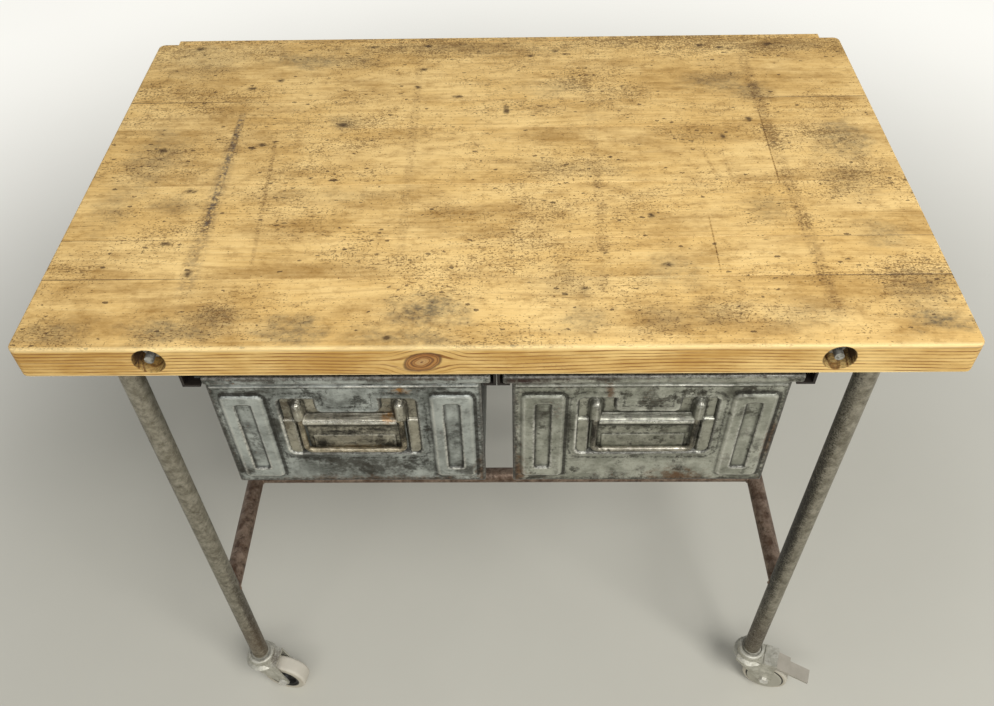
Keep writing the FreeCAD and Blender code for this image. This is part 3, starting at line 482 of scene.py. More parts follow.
def hole_shade_and_dirt(tree, place, parts):
    """Painted shade in the sunk holes round the tie rods: darker the deeper they go,
    lighter on their lower wall, with some dirt.
    """
    holes = [0.0]
    for x in TIE_X:
        offset = moved(tree, place, (-x, 0.0, -TIE_Z))
        away = length(tree, scaled(tree, offset, (1.0, 0.0, 1.0)))
        holes.append(fade(tree, away, 0.0180, 0.0172))
    depth = fade(tree, calc(tree, "ABSOLUTE", parts["Y"]), -FRONT_Y + 0.0005, -FRONT_Y - 0.012)
    lower = fade(tree, parts["Z"], TIE_Z - 0.0060, TIE_Z - 0.0140)
    darkening = fade(tree, noise(tree, place, 420.0, 3.0, 0.7), 0.42, 0.62)
    deep = calc(tree, "ADD", 0.45, times(tree, depth, 0.55))
    shade = times(tree, deep, calc(tree, "SUBTRACT", 1.0, times(tree, lower, 0.62)))
    shade = calc(tree, "ADD", shade, times(tree, darkening, 0.35), clamp=True)
    return times(tree, strongest(tree, holes), shade)


def knot_distance(tree, place):
    """How far a point lies from the middle of the knot, 1 at its rim; the knot leans."""
    offset = moved(tree, place, (-KNOT[0], -KNOT[1], -KNOT[2]))
    shake = put(tree, "TexNoise", {"Vector": place, "Scale": 90.0}).outputs["Color"]
    shaken = moved(tree, moved(tree, offset, scaled(tree, shake, (0.005, 0.0, 0.004))), (-0.0025, 0.0, -0.002))
    leaning = put(tree, "VectorRotate", {"Vector": shaken, "Angle": KNOT_TILT}, rotation_type="Y_AXIS").outputs[0]
    return length(tree, scaled(tree, leaning, (1 / 0.020, 12.0, 1 / 0.0125)))


def flow_round_knot(tree, place):
    """The place at which to read the growth rings, so that they part round the knot."""
    offset = moved(tree, place, (-KNOT[0], -KNOT[1], -KNOT[2]))
    near = fade(tree, knot_distance(tree, place), 2.6, 0.9)
    drawn_in = put(tree, "VectorMath", {0: scaled(tree, offset, (0.0, 0.0, -0.78)), "Scale": near}, operation="SCALE")
    return moved(tree, place, drawn_in.outputs[0])


def add_knot(tree, place, colour):
    """A brown knot with rings of its own, set in the front edge."""
    away = knot_distance(tree, place)
    fine = noise(tree, place, 900.0, 3.0, 0.7)
    body = fade(tree, away, 1.04, 0.92)
    heart = fade(tree, away, 0.46, 0.22)
    turns = calc(tree, "ADD", times(tree, away, 31.0), times(tree, fine, 2.0))
    rings = fade(tree, calc(tree, "SINE", turns), -0.2, 1.0)
    outline = times(tree, fade(tree, away, 1.16, 1.02), fade(tree, away, 0.84, 0.99))
    inner = times(tree, fade(tree, away, 0.66, 0.58), fade(tree, away, 0.48, 0.56))
    patchy = calc(tree, "ADD", 0.45, times(tree, noise(tree, place, 130.0, 4.0, 0.7), 0.7))
    colour = tint(tree, times(tree, body, 0.80), colour, rgb(158, 104, 46))
    colour = tint(tree, times(tree, times(tree, body, rings), times(tree, patchy, 0.80)), colour, rgb(96, 52, 18))
    colour = tint(tree, times(tree, heart, 0.55), colour, rgb(196, 160, 106))
    colour = tint(tree, times(tree, inner, times(tree, patchy, 0.85)), colour, rgb(84, 48, 22))
    colour = tint(tree, fade(tree, away, 0.13, 0.04), colour, rgb(98, 62, 32))
    return tint(tree, times(tree, outline, times(tree, patchy, 0.95)), colour, rgb(80, 46, 20))


print("pine masks ready")

# %% Pine material
PALE_PINE = rgb(254, 216, 142)
TAN_PINE = rgb(236, 194, 118)
SIDE_PALE = rgb(228, 192, 120)
SIDE_TAN = rgb(184, 140, 66)
LATE_WOOD = rgb(136, 90, 32)
OLD_DIRT = rgb(142, 96, 22)
IRON_GREY = rgb(98, 88, 68)
STREAK_GREY = rgb(64, 64, 68)
DEEP_BROWN = rgb(66, 42, 18)
SPECK_BROWN = rgb(106, 68, 18)
# The next colour is the painted shade deep in the tie-rod holes.
HOLE_SHADE_DARK = rgb(42, 22, 12)
WORN_PALE = rgb(252, 226, 164)


def make_pine(name, pith, seed, low, high):
    material, tree, shader, place = start_material(name, 0.62)
    is_front = low.y < FRONT_Y + 0.01
    reading = flow_round_knot(tree, place) if is_front else place
    grain = use_group(tree, pine_grain, Place=reading, Pith=pith, Seed=seed)
    parts = put(tree, "SeparateXYZ", {0: place}).outputs
    on_top = fade(tree, parts["Z"], TOP_Z - 0.0045, TOP_Z - 0.0015)
    beside = calc(tree, "SUBTRACT", 1.0, on_top)

    tan = tint(tree, on_top, SIDE_TAN, TAN_PINE)
    pale = tint(tree, on_top, SIDE_PALE, PALE_PINE)
    colour = tint(tree, grain["Patches"], tan, pale)
    breaks = fade(tree, noise(tree, scaled(tree, place, (20.0, 120.0, 120.0)), 1.0, 4.0, 0.7, 3.0), 0.34, 0.66)
    broken = calc(tree, "ADD", 0.35, times(tree, breaks, 0.55))
    fine_rings = times(tree, fade(tree, grain["Rings"], 0.45, 1.0), broken)
    broad_rings = times(tree, grain["Rings"], times(tree, breaks, 0.26))
    ring_depth = calc(tree, "ADD", times(tree, beside, fine_rings), broad_rings)
    colour = tint(tree, ring_depth, colour, LATE_WOOD)
    colour = tint(tree, times(tree, fade(tree, grain["Fibre"], 0.48, 0.74), 0.34), colour, LATE_WOOD)
    colour = tint(tree, times(tree, fade(tree, grain["Fibre"], 0.50, 0.28), 0.28), colour, WORN_PALE)

    soft = noise(tree, scaled(tree, place, (24.0, 40.0, 40.0)), 1.0, 5.0, 0.68, 7.0)
    ragged = noise(tree, scaled(tree, place, (110.0, 150.0, 150.0)), 1.0, 5.0, 0.7, 2.0)
    flow = noise(tree, scaled(tree, place, (7.0, 17.0, 17.0)), 1.0, 8.0, 0.72, seed + 3.0)
    mottle = noise(tree, scaled(tree, place, (48.0, 80.0, 80.0)), 1.0, 5.0, 0.72, 5.0)
    stains = times(tree, stain_mask(tree, place, soft, low, high), on_top)
    brown, grey = band_masks(tree, place, ragged, low, high)

    film = times(tree, fade(tree, flow, 0.44, 0.67), calc(tree, "ADD", 0.25, times(tree, ragged, 0.8)))
    colour = tint(tree, times(tree, film, times(tree, on_top, 0.90)), colour, OLD_DIRT)
    colour = tint(tree, times(tree, fade(tree, mottle, 0.48, 0.68), times(tree, on_top, 0.42)), colour, OLD_DIRT)
    patchy = calc(tree, "ADD", 0.36, times(tree, fade(tree, ragged, 0.38, 0.64), 0.50))
    colour = tint(tree, times(tree, stains, patchy), colour, IRON_GREY)
    streak = times(tree, fade(tree, ragged, 0.38, 0.60), on_top)
    colour = tint(tree, times(tree, times(tree, brown, streak), 0.75), colour, OLD_DIRT)
    colour = tint(tree, times(tree, grey, streak), colour, STREAK_GREY)

    crowd = fade(tree, noise(tree, scaled(tree, place, (8.0, 14.0, 14.0)), 1.0, 4.0, 0.6, 1.0), 0.30, 0.72)
    crowd = calc(tree, "ADD", crowd, times(tree, fade(tree, parts["Y"], 0.22, 0.30), 0.4))
    crowd = calc(tree, "ADD", crowd, times(tree, calc(tree, "ADD", brown, times(tree, grey, 0.3)), 0.7))
    crowd = calc(tree, "ADD", crowd, times(tree, stains, 0.25))
    crowd = calc(tree, "SUBTRACT", crowd, times(tree, beside, 0.6))
    grit = use_group(tree, speck_group, Place=place, Stretch=(330.0, 560.0, 560.0), Amount=crowd, Limit=0.605)["Mask"]
    dashes = use_group(tree, speck_group, Place=place, Stretch=(90.0, 560.0, 560.0), Amount=crowd, Limit=0.635,
                       Seed=4.0)["Mask"]
    scores = use_group(tree, speck_group, Place=place, Stretch=(700.0, 60.0, 60.0), Amount=crowd, Limit=0.650,
                       Seed=8.0)["Mask"]
    scores = times(tree, scores, on_top)
    specks = strongest(tree, [times(tree, scores, 0.45), times(tree, grit, 0.70), times(tree, dashes, 0.62)])
    small = use_group(tree, pit_group, Place=place, Scale=210.0, Size=0.34, Share=0.26, Crowding=crowd)["Mask"]
    large = use_group(tree, pit_group, Place=place, Scale=70.0, Size=0.20, Share=0.07, Crowding=crowd)["Mask"]
    dents = times(tree, dent_mask(tree, place, ragged, low, high), on_top)
    pits = strongest(tree, [times(tree, small, 0.8), large, dents])
    pits = times(tree, pits, calc(tree, "MAXIMUM", on_top, 0.12))
    colour = tint(tree, times(tree, specks, calc(tree, "MAXIMUM", on_top, 0.3)), colour, SPECK_BROWN)
    colour = tint(tree, times(tree, pits, 0.88), colour, DEEP_BROWN)

    arris = times(tree, fade(tree, parts["Y"], FRONT_Y + 0.0055, FRONT_Y + 0.002),
                  fade(tree, parts["Z"], TOP_Z - 0.0065, TOP_Z - 0.0030))
    lower_arris = times(tree, fade(tree, parts["Y"], FRONT_Y + 0.003, FRONT_Y + 0.001),
                        fade(tree, parts["Z"], TOP_Z - 0.0395, TOP_Z - 0.0408))
    arris = times(tree, calc(tree, "MAXIMUM", arris, lower_arris), calc(tree, "ADD", 0.55, times(tree, soft, 0.5)))
    colour = tint(tree, times(tree, arris, 0.62), colour, WORN_PALE)
    seam = seam_mask(tree, parts, low, high)
    colour = tint(tree, seam, colour, DEEP_BROWN)
    if is_front:
        colour = add_knot(tree, place, colour)
    # Painted shade, with some dirt, inside the sunk holes of the tie rods.
    if is_front or high.y > -FRONT_Y - 0.02:
        colour = tint(tree, times(tree, hole_shade_and_dirt(tree, place, parts), 0.94), colour, HOLE_SHADE_DARK)

    tree.links.new(colour, shader.inputs["Base Color"])
    rough = calc(tree, "ADD", 0.50, times(tree, flow, 0.25))
    tree.links.new(calc(tree, "ADD", rough, times(tree, pits, 0.2)), shader.inputs["Roughness"])
    height = calc(tree, "ADD", times(tree, grain["Fibre"], 0.5), times(tree, grain["Rings"], 0.12))
    height = calc(tree, "SUBTRACT", height, calc(tree, "ADD", pits, seam))
    height = calc(tree, "SUBTRACT", height, specks)
    set_bump(tree, shader, height, 0.0006, 0.8)
    return material


PITHS = [(0, -0.290, 0.785), (0, -0.120, 0.790), (0, -0.060, 0.800), (0, 0.020, 0.760), (0, 0.150, 0.812),
         (0, 0.235, 0.770)]
board_pine = []
for number, pith in enumerate(PITHS, start=1):
    low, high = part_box("top_board_%d" % number)
    board_pine.append(make_pine("pine_board_%d" % number, pith, number * 1.7, low, high))
batten_pine = make_pine("pine_batten", (0, 0.30, 0.80), 13.0, *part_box("back_batten"))
print("pine for", len(board_pine), "boards and the batten,", len(board_pine[0].node_tree.nodes), "nodes on the first")

# %% [markdown]
# ## Old bare steel
# The drawers, the rails and the pipes are bare steel of different ages. What they share
# is one group: clouds of darker and lighter skin, small specks where rust has bitten,
# and fine scratches along one direction. Each material mixes these with its own colours
# and its own metal sheen. Rust isn't a metal, so where it lies the metallic value drops.
# Five attributes of the mesh guide the finish. Ridge tells where the sheet stands out
# and is rubbed bright, and on the drawers it also holds painted highlights. Hollow tells
# where the sheet lies in and holds dirt. Edge is strong near a rim, where rust creeps
# in. Raised marks the faces that stand out as a whole, and the fifth one holds dirt
# together with painted shade, under the lips, the handles and their ridges and beside
# the raised panels. A mesh without them reads as 0.

# %% Old steel group


def make_old_steel():
    inputs = {"Place": (0.0, 0.0, 0.0), "Scale": 20.0, "Stretch": (1.0, 1.0, 1.0), "Seed": 0.0}
    outputs = ["Clouds", "Specks", "Scratches", "Grime", "Blotches", "Flecks"]
    group, given, result = start_group("old_steel", inputs, outputs)
    clouds = noise(group, given["Place"], given["Scale"], 6.0, 0.70, given["Seed"])
    group.links.new(fade(group, clouds, 0.36, 0.64), result["Clouds"])
    skin = noise(group, given["Place"], times(group, given["Scale"], 1.4), 8.0, 0.74,
                 calc(group, "ADD", given["Seed"], 9.0))
    group.links.new(fade(group, skin, 0.535, 0.60), result["Blotches"])
    flecks = noise(group, given["Place"], times(group, given["Scale"], 24.0), 3.0, 0.7,
                   calc(group, "ADD", given["Seed"], 6.0))
    group.links.new(fade(group, flecks, 0.57, 0.66), result["Flecks"])
    bites = noise(group, given["Place"], times(group, given["Scale"], 11.0), 3.0, 0.65, given["Seed"])
    group.links.new(fade(group, bites, 0.54, 0.66), result["Specks"])
    drawn = put(group, "VectorMath", {0: given["Place"], 1: given["Stretch"]}, operation="MULTIPLY").outputs[0]
    lines = noise(group, drawn, 1.0, 4.0, 0.75, given["Seed"])
    group.links.new(fade(group, lines, 0.50, 0.70), result["Scratches"])
    film = noise(group, given["Place"], times(group, given["Scale"], 1.9), 6.0, 0.68,
                 calc(group, "ADD", given["Seed"], 4.0))
    group.links.new(fade(group, film, 0.47, 0.72), result["Grime"])
    return group


old_steel = make_old_steel()
print("old_steel", len(old_steel.nodes), "nodes")

# %% Steel materials
# A near-black for dirt and painted shade, and a pale tone for rubbed metal and painted highlights.
SOOT_AND_SHADE_BLACK = rgb(28, 25, 18)
RUBBED_AND_HIGHLIGHT_BRIGHT = rgb(214, 212, 200)


def make_steel(name, tones, rust, scale, roughness, metallic, stretch=(30.0, 600.0, 600.0), seed=0.0, rusty=0.5,
               bump=0.0003, spots=(), dirty=1.0, lift=1.0):
    """Bare steel: tones are its dark, middle and light skin, rusty is how much rust shows,
    dirty how dark its patches are, lift how much lighter its raised faces are, and spots
    are single marks, stains, painted shade and painted reflections alike, as a place, a
    reach, a strength and a colour."""
    material, tree, shader, place = start_material(name, roughness, metallic)
    skin = use_group(tree, old_steel, Place=place, Scale=scale, Stretch=stretch, Seed=seed)
    ridge, hollow, edge, raised, soot_and_shade = [put(tree, "Attribute", attribute_name=label).outputs["Fac"]
                                         for label in ("ridge", "hollow", "edge", "raised", "soot_and_shade")]
    dark, middle, light = tones
    ragged = noise(tree, place, scale * 5, 4.0, 0.7, seed + 2.0)
    broken = fade(tree, noise(tree, place, 230.0, 5.0, 0.76, seed + 3.0), 0.44, 0.56)
    raised = times(tree, raised, lift)
    colour = tint(tree, skin["Clouds"], middle, light)
    cloudy = calc(tree, "ADD", 0.45, times(tree, skin["Clouds"], 0.35))
    colour = tint(tree, times(tree, raised, cloudy), colour, light)
    dull = times(tree, calc(tree, "SUBTRACT", 1.0, times(tree, raised, 0.62)), dirty)
    colour = tint(tree, times(tree, times(tree, skin["Blotches"], 0.74), dull, clamp=True), colour, dark)
    colour = tint(tree, times(tree, times(tree, skin["Grime"], 0.74), dull, clamp=True), colour, dark)
    colour = tint(tree, times(tree, skin["Scratches"], 0.30), colour, light)
    flecks = times(tree, skin["Flecks"], calc(tree, "ADD", 0.30, times(tree, skin["Grime"], 0.55)))
    colour = tint(tree, times(tree, flecks, dull, clamp=True), colour, dark)
    rusting = times(tree, calc(tree, "ADD", times(tree, skin["Grime"], 0.6), times(tree, edge, 0.75)), rusty)
    bitten = calc(tree, "ADD", skin["Specks"], times(tree, fade(tree, ragged, 0.5, 0.7), edge))
    mask = times(tree, bitten, rusting, clamp=True)
    colour = tint(tree, mask, colour, rust)
    for spot, reach, strength, shade in spots:
        stain = use_group(tree, stain_group, Place=place, Centre=spot, Reach=reach, Ragged=ragged)["Mask"]
        colour = tint(tree, times(tree, stain, strength), colour, shade)
    # Dirt in the hollows, and the fifth attribute's dirt and painted shade, darken the steel.
    skirt = times(tree, fade(tree, soot_and_shade, 0.0, 0.7), broken)
    core = times(tree, fade(tree, soot_and_shade, 0.55, 0.90), calc(tree, "ADD", 0.82, times(tree, broken, 0.18)))
    darkening = times(tree, hollow, calc(tree, "ADD", 0.55, times(tree, ragged, 0.8)), clamp=True)
    dirt_and_shade_mask = strongest(tree, [darkening, times(tree, skirt, 0.85), core])
    colour = tint(tree, times(tree, dirt_and_shade_mask, 0.95), colour, SOOT_AND_SHADE_BLACK)
    # The ridge value lightens rubbed metal and also the painted highlights stored on the drawers.
    unbroken = times(tree, calc(tree, "SUBTRACT", 1.0, broken), 0.60)
    rubbed_and_highlight = times(tree, ridge, calc(tree, "ADD", 0.40, unbroken), clamp=True)
    colour = tint(tree, rubbed_and_highlight, colour, RUBBED_AND_HIGHLIGHT_BRIGHT)
    tree.links.new(colour, shader.inputs["Base Color"])
    tree.links.new(calc(tree, "SUBTRACT", metallic, times(tree, mask, metallic)), shader.inputs["Metallic"])
    rough = calc(tree, "ADD", roughness, times(tree, skin["Grime"], 0.18))
    rough = calc(tree, "SUBTRACT", rough, times(tree, ridge, 0.12))
    tree.links.new(calc(tree, "ADD", rough, times(tree, mask, 0.25), clamp=True), shader.inputs["Roughness"])
    height = calc(tree, "SUBTRACT", times(tree, skin["Specks"], 0.6), skin["Scratches"])
    set_bump(tree, shader, height, bump, 0.6)
    return material


RUST = rgb(96, 66, 38)
ORANGE = rgb(146, 102, 42)
SMEAR = rgb(46, 42, 32)
LEFT_TONES = (rgb(34, 33, 26), rgb(98, 101, 95), rgb(174, 178, 171))
RIGHT_TONES = (rgb(42, 38, 26), rgb(120, 121, 107), rgb(174, 174, 160))
LEFT_SPOTS = [((-0.109, -0.298, 0.813), (0.012, 0.02, 0.006), 0.95, ORANGE),
              ((-0.125, -0.300, 0.764), (0.010, 0.02, 0.007), 0.9, ORANGE),
              ((-0.275, -0.298, 0.811), (0.040, 0.02, 0.006), 0.8, SMEAR),
              ((-0.254, -0.298, 0.753), (0.012, 0.02, 0.020), 0.7, SMEAR),
              ((-0.308, -0.298, 0.664), (0.018, 0.02, 0.014), 0.9, SMEAR),
              ((-0.037, -0.298, 0.666), (0.022, 0.02, 0.020), 0.85, SMEAR),
              ((-0.243, -0.298, 0.665), (0.030, 0.02, 0.020), 0.35, rgb(150, 154, 148)),
              ((-0.019, -0.298, 0.655), (0.010, 0.02, 0.040), 0.8, RUST),
              ((-0.150, -0.298, 0.640), (0.160, 0.02, 0.012), 0.7, RUST),
              ((-0.165, -0.298, 0.674), (0.078, 0.02, 0.022), 0.85, SMEAR),
              ((-0.320, -0.298, 0.730), (0.010, 0.02, 0.090), 0.8, SMEAR),
              ((-0.110, -0.300, 0.8375), (0.100, 0.02, 0.0045), 0.9, rgb(62, 44, 30)),
              ((-0.262, -0.300, 0.8375), (0.034, 0.02, 0.0045), 0.8, rgb(54, 40, 28))]
RIGHT_SPOTS = [((0.215, -0.298, 0.644), (0.036, 0.02, 0.022), 0.9, RUST),
               ((0.048, -0.298, 0.764), (0.012, 0.02, 0.026), 0.7, SMEAR),
               ((0.257, -0.298, 0.806), (0.018, 0.02, 0.014), 0.7, SMEAR),
               ((0.316, -0.298, 0.716), (0.009, 0.02, 0.045), 0.8, RUST),
               ((0.022, -0.298, 0.655), (0.012, 0.02, 0.040), 0.9, RUST),
               ((0.082, -0.298, 0.751), (0.008, 0.02, 0.030), 0.7, SMEAR),
               ((0.125, -0.298, 0.809), (0.005, 0.02, 0.022), 0.8, RUST),
               ((0.030, -0.300, 0.834), (0.050, 0.02, 0.014), 1.0, rgb(46, 24, 18)),
               ((0.090, -0.300, 0.8375), (0.090, 0.02, 0.0045), 0.8, rgb(58, 42, 30))]
# A near-black for painted shade. The marks on the left plate are painted shade under the ridge and low in the window,
# two pale painted reflections across the window, and two darker patches on the left ear.
PAINTED_SHADE_DARK = rgb(18, 15, 10)
LEFT_PLATE_SHADE_AND_REFLECTIONS = [((-0.186, -0.292, 0.733), (0.036, 0.02, 0.006), 0.9, PAINTED_SHADE_DARK),
                    ((-0.140, -0.292, 0.737), (0.024, 0.02, 0.005), 0.9, PAINTED_SHADE_DARK),
                    ((-0.206, -0.292, 0.712), (0.012, 0.02, 0.010), 0.9, PAINTED_SHADE_DARK),
                    ((-0.130, -0.292, 0.712), (0.014, 0.02, 0.010), 0.9, PAINTED_SHADE_DARK),
                    ((-0.170, -0.292, 0.722), (0.032, 0.02, 0.004), 0.6, rgb(150, 144, 128)),
                    ((-0.168, -0.292, 0.706), (0.034, 0.02, 0.004), 0.7, rgb(118, 94, 58)),
                    ((-0.238, -0.292, 0.782), (0.014, 0.02, 0.010), 0.8, rgb(66, 54, 36)),
                    ((-0.244, -0.292, 0.750), (0.007, 0.02, 0.018), 0.7, rgb(70, 58, 40))]
DRAWN_SHEET = (60.0, 700.0, 260.0)
drawer_steels = {"left": make_steel("drawer_steel_left", LEFT_TONES, RUST, 22.0, 0.40, 0.6, DRAWN_SHEET, 0.0, 1.1,
                                    spots=LEFT_SPOTS, dirty=1.1, lift=0.95),
                 "right": make_steel("drawer_steel_right", RIGHT_TONES, RUST, 22.0, 0.40, 0.6, DRAWN_SHEET, 6.0, 1.2,
                                     spots=RIGHT_SPOTS, dirty=1.15, lift=0.35)}
LEFT_PLATE_TONES = (rgb(28, 23, 15), rgb(106, 101, 86), rgb(168, 163, 145))
RIGHT_PLATE_TONES = (rgb(36, 32, 22), rgb(114, 114, 100), rgb(160, 159, 144))
handle_steels = {"left": make_steel("handle_steel_left", LEFT_PLATE_TONES, RUST, 44.0, 0.30, 0.75, seed=3.0,
                                    rusty=0.9, spots=LEFT_PLATE_SHADE_AND_REFLECTIONS + LEFT_SPOTS[:2]),
                 "right": make_steel("handle_steel_right", RIGHT_PLATE_TONES, RUST, 44.0, 0.34, 0.7, seed=4.0,
                                     rusty=0.7)}
# Painted shade down the handles' arms.
LEFT_BAIL_SHADE = [((-0.1100, -0.300, 0.738), (0.0080, 0.02, 0.026), 0.9, PAINTED_SHADE_DARK),
                   ((-0.2270, -0.300, 0.748), (0.0060, 0.02, 0.010), 0.6, PAINTED_SHADE_DARK)]
RIGHT_BAIL_SHADE = [((0.1095, -0.300, 0.736), (0.0075, 0.02, 0.028), 0.95, PAINTED_SHADE_DARK),
                    ((0.2285, -0.300, 0.736), (0.0075, 0.02, 0.028), 0.95, PAINTED_SHADE_DARK)]
bail_steels = {"left": make_steel("bail_steel_left", (rgb(46, 38, 25), rgb(128, 117, 95), rgb(192, 181, 156)), RUST,
                                  90.0, 0.30, 0.9, seed=5.0, rusty=0.5, spots=LEFT_BAIL_SHADE),
               "right": make_steel("bail_steel_right", (rgb(50, 45, 35), rgb(118, 113, 98), rgb(176, 171, 156)), RUST,
                                   90.0, 0.32, 0.9, seed=6.0, rusty=0.5, spots=RIGHT_BAIL_SHADE)}
# Marks on the front legs: the dark streaks down the left sides of both legs are painted shade, the streak on the left
# leg's right side is grime, and the brown at their feet is grime and rust.
LEG_SHADE_AND_GRIME = [((0.4045, -0.262, 0.470), (0.0085, 0.03, 0.42), 0.95, rgb(20, 15, 9)),
             ((-0.4265, -0.272, 0.640), (0.0055, 0.03, 0.22), 0.85, rgb(28, 23, 16)),
             ((-0.4265, -0.272, 0.200), (0.0065, 0.03, 0.16), 0.85, rgb(40, 28, 16)),
             ((-0.4020, -0.272, 0.240), (0.0045, 0.03, 0.18), 0.75, rgb(40, 28, 16)),
             ((-0.4135, -0.272, 0.150), (0.0300, 0.03, 0.09), 0.50, rgb(92, 66, 38)),
             ((0.4165, -0.262, 0.150), (0.0300, 0.03, 0.09), 0.65, rgb(58, 40, 24))]
pipe_steel = make_steel("pipe_steel", (rgb(52, 44, 32), rgb(118, 112, 96), rgb(160, 154, 138)), rgb(96, 62, 38), 85.0,
                        0.42, 0.7, (240.0, 240.0, 12.0), 8.0, 1.1, 0.0006, LEG_SHADE_AND_GRIME, 0.42)
brown_pipe = make_steel("brown_pipe", (rgb(40, 27, 19), rgb(94, 72, 56), rgb(150, 130, 112)), rgb(92, 56, 36), 62.0,
                        0.46, 0.55, (240.0, 12.0, 240.0), 9.0, 1.3, 0.0006, dirty=0.75)
# The rail steel's near-black tones are dark steel with the painted shade of the channels under the top mixed in.
rail_steel = make_steel("rail_steel", (rgb(16, 12, 10), rgb(32, 26, 22), rgb(52, 45, 38)), rgb(62, 36, 22),
                        30.0, 0.55, 0.4, seed=9.0)
tub_steel = make_steel("tub_steel", (rgb(70, 70, 64), rgb(112, 116, 110), rgb(140, 144, 138)), RUST, 14.0, 0.45, 0.6,
                       (20.0, 20.0, 300.0), 11.0, 0.7)
# Painted shadow on the front-left caster's fork bridge, between the swivel head and the tyre.
FORK_SHADE = [((-0.3850, -0.2760, 0.0935), (0.016, 0.018, 0.006), 0.8, rgb(84, 66, 52)),
               ((-0.3770, -0.2780, 0.0800), (0.020, 0.012, 0.006), 0.7, rgb(112, 88, 72))]
zinc_plate = make_steel("zinc_plate", (rgb(104, 98, 84), rgb(168, 165, 150), rgb(204, 201, 188)),
                        rgb(112, 88, 62), 70.0, 0.52, 0.55, seed=12.0, rusty=0.3, bump=0.0001, spots=FORK_SHADE,
                        dirty=0.35)
bright_zinc = make_steel("bright_zinc", (rgb(120, 116, 104), rgb(206, 203, 194), rgb(232, 230, 222)),
                         rgb(112, 88, 62), 90.0, 0.40, 0.6, seed=13.0, rusty=0.2, bump=0.0001, dirty=0.3)
fastener_steel = make_steel("fastener_steel", (rgb(58, 54, 46), rgb(142, 140, 130), rgb(176, 174, 164)), RUST, 90.0,
                            0.42, 0.6, seed=14.0, rusty=0.9)
print("steels ready")

# %% [markdown]
# ## Plastic and rubber of the casters
# The wheel's grey rubber is matt and dusty, and the moulded plastic of the guards and
# pedals is a little smoother. A faint speckle and slight changes of roughness keep them
# from looking like flat paint.

# %% Caster plastics


def dusty_colour(tree, place, base, dusty, scale):
    """The clouds of dust, and the colour they give."""
    cloud = fade(tree, noise(tree, place, scale, 4.0, 0.6), 0.35, 0.7)
    return cloud, tint(tree, times(tree, cloud, 0.7), base, dusty)


def set_moulded(tree, shader, place, cloud, colour, roughness, scale):
    """Give the shader its colour, rougher where dust lies, and a fine grit."""
    tree.links.new(colour, shader.inputs["Base Color"])
    tree.links.new(calc(tree, "ADD", roughness, times(tree, cloud, 0.15)), shader.inputs["Roughness"])
    set_bump(tree, shader, noise(tree, place, scale * 22, 2.0, 0.6), 0.0001, 0.5)


def make_moulded(name, base, dusty, roughness, scale):
    material, tree, shader, place = start_material(name, roughness)
    cloud, colour = dusty_colour(tree, place, base, dusty, scale)
    set_moulded(tree, shader, place, cloud, colour, roughness, scale)
    return material


CASTER_TURNS = {"front_left": -12, "front_right": -20, "back_left": 180, "back_right": 152}
BRAKED = ("front_right", "back_left")
GUARD_REACH, HUB_REACH = 0.0314, 0.0270   # how far from the axle the painted shade reaches
TYRE_DUST_SCALE = 45.0


def make_tyre(corner):
    """Grey rubber with painted shade: a dark ring round the hub, or round the guard over it."""
    material, tree, shader, place = start_material("tyre_" + corner, 0.62)
    middle = sum(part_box("wheel_tyre_" + corner), Vector()) / 2
    turn = math.radians(CASTER_TURNS[corner])
    axle = (-math.sin(turn), math.cos(turn), 0.0)
    across = put(tree, "VectorMath", {0: moved(tree, place, tuple(-middle)), 1: axle}, operation="CROSS_PRODUCT")
    away = length(tree, across.outputs[0])
    reach = GUARD_REACH if corner in BRAKED else HUB_REACH
    cloud, colour = dusty_colour(tree, place, rgb(192, 184, 166), rgb(170, 162, 144), TYRE_DUST_SCALE)
    tread = fade(tree, away, 0.0340, 0.0356)
    colour = tint(tree, times(tree, tread, 0.5), colour, rgb(206, 200, 186))
    # Painted shade: a near-black ring on the tyre under the guard or round the hub.
    darkening = fade(tree, away, reach + 0.0005, reach - 0.0005)
    colour = tint(tree, times(tree, darkening, 0.94), colour, rgb(28, 26, 22))
    set_moulded(tree, shader, place, cloud, colour, 0.58, TYRE_DUST_SCALE)
    return material


wheel_plastic = make_moulded("wheel_plastic", rgb(168, 164, 148), rgb(150, 146, 130), 0.50, 45.0)
pedal_plastic = make_moulded("pedal_plastic", rgb(164, 157, 143), rgb(148, 142, 128), 0.55, 45.0)
hub_plastic = make_moulded("hub_plastic", rgb(30, 28, 25), rgb(46, 42, 37), 0.50, 60.0)
print("plastics ready")

# %% [markdown]
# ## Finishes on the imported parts
# The record names a material slot for each part. Every part first gets the finish of
# its slot, so nothing is left bare, and the finer pieces made later take the same ones.
# A few parts then get one of their own, such as the tyres, each dirty round its axle.

# %% Give every part a finish
SLOT_FINISH = {"pine": batten_pine, "screw_steel": fastener_steel, "grey_fastener_steel": fastener_steel,
               "pipe_steel": pipe_steel, "rail_steel": rail_steel, "drawer_steel": tub_steel,
               "handle_steel": handle_steels["right"], "bail_steel": bail_steels["right"], "zinc_plate": zinc_plate,
               "wheel_plastic": wheel_plastic, "grey_rubber": wheel_plastic}
slot_of = {part["node"]: part["material_slot"] for part in frame["record"]["subparts"]}
finish_of = {name: SLOT_FINISH[slot_of[name]] for name in nodes}
finish_of["bail_left"] = bail_steels["left"]
for name in ("side_stretcher_left", "side_stretcher_right", "cross_stretcher"):
    finish_of[name] = brown_pipe
for name in nodes:
    if name.startswith("brake_pedal"):
        finish_of[name] = pedal_plastic
    elif name.startswith("wheel_hub"):
        finish_of[name] = hub_plastic
    elif name.startswith("caster_axle"):
        finish_of[name] = bright_zinc
for corner in CASTER_TURNS:
    finish_of["wheel_tyre_" + corner] = make_tyre(corner)
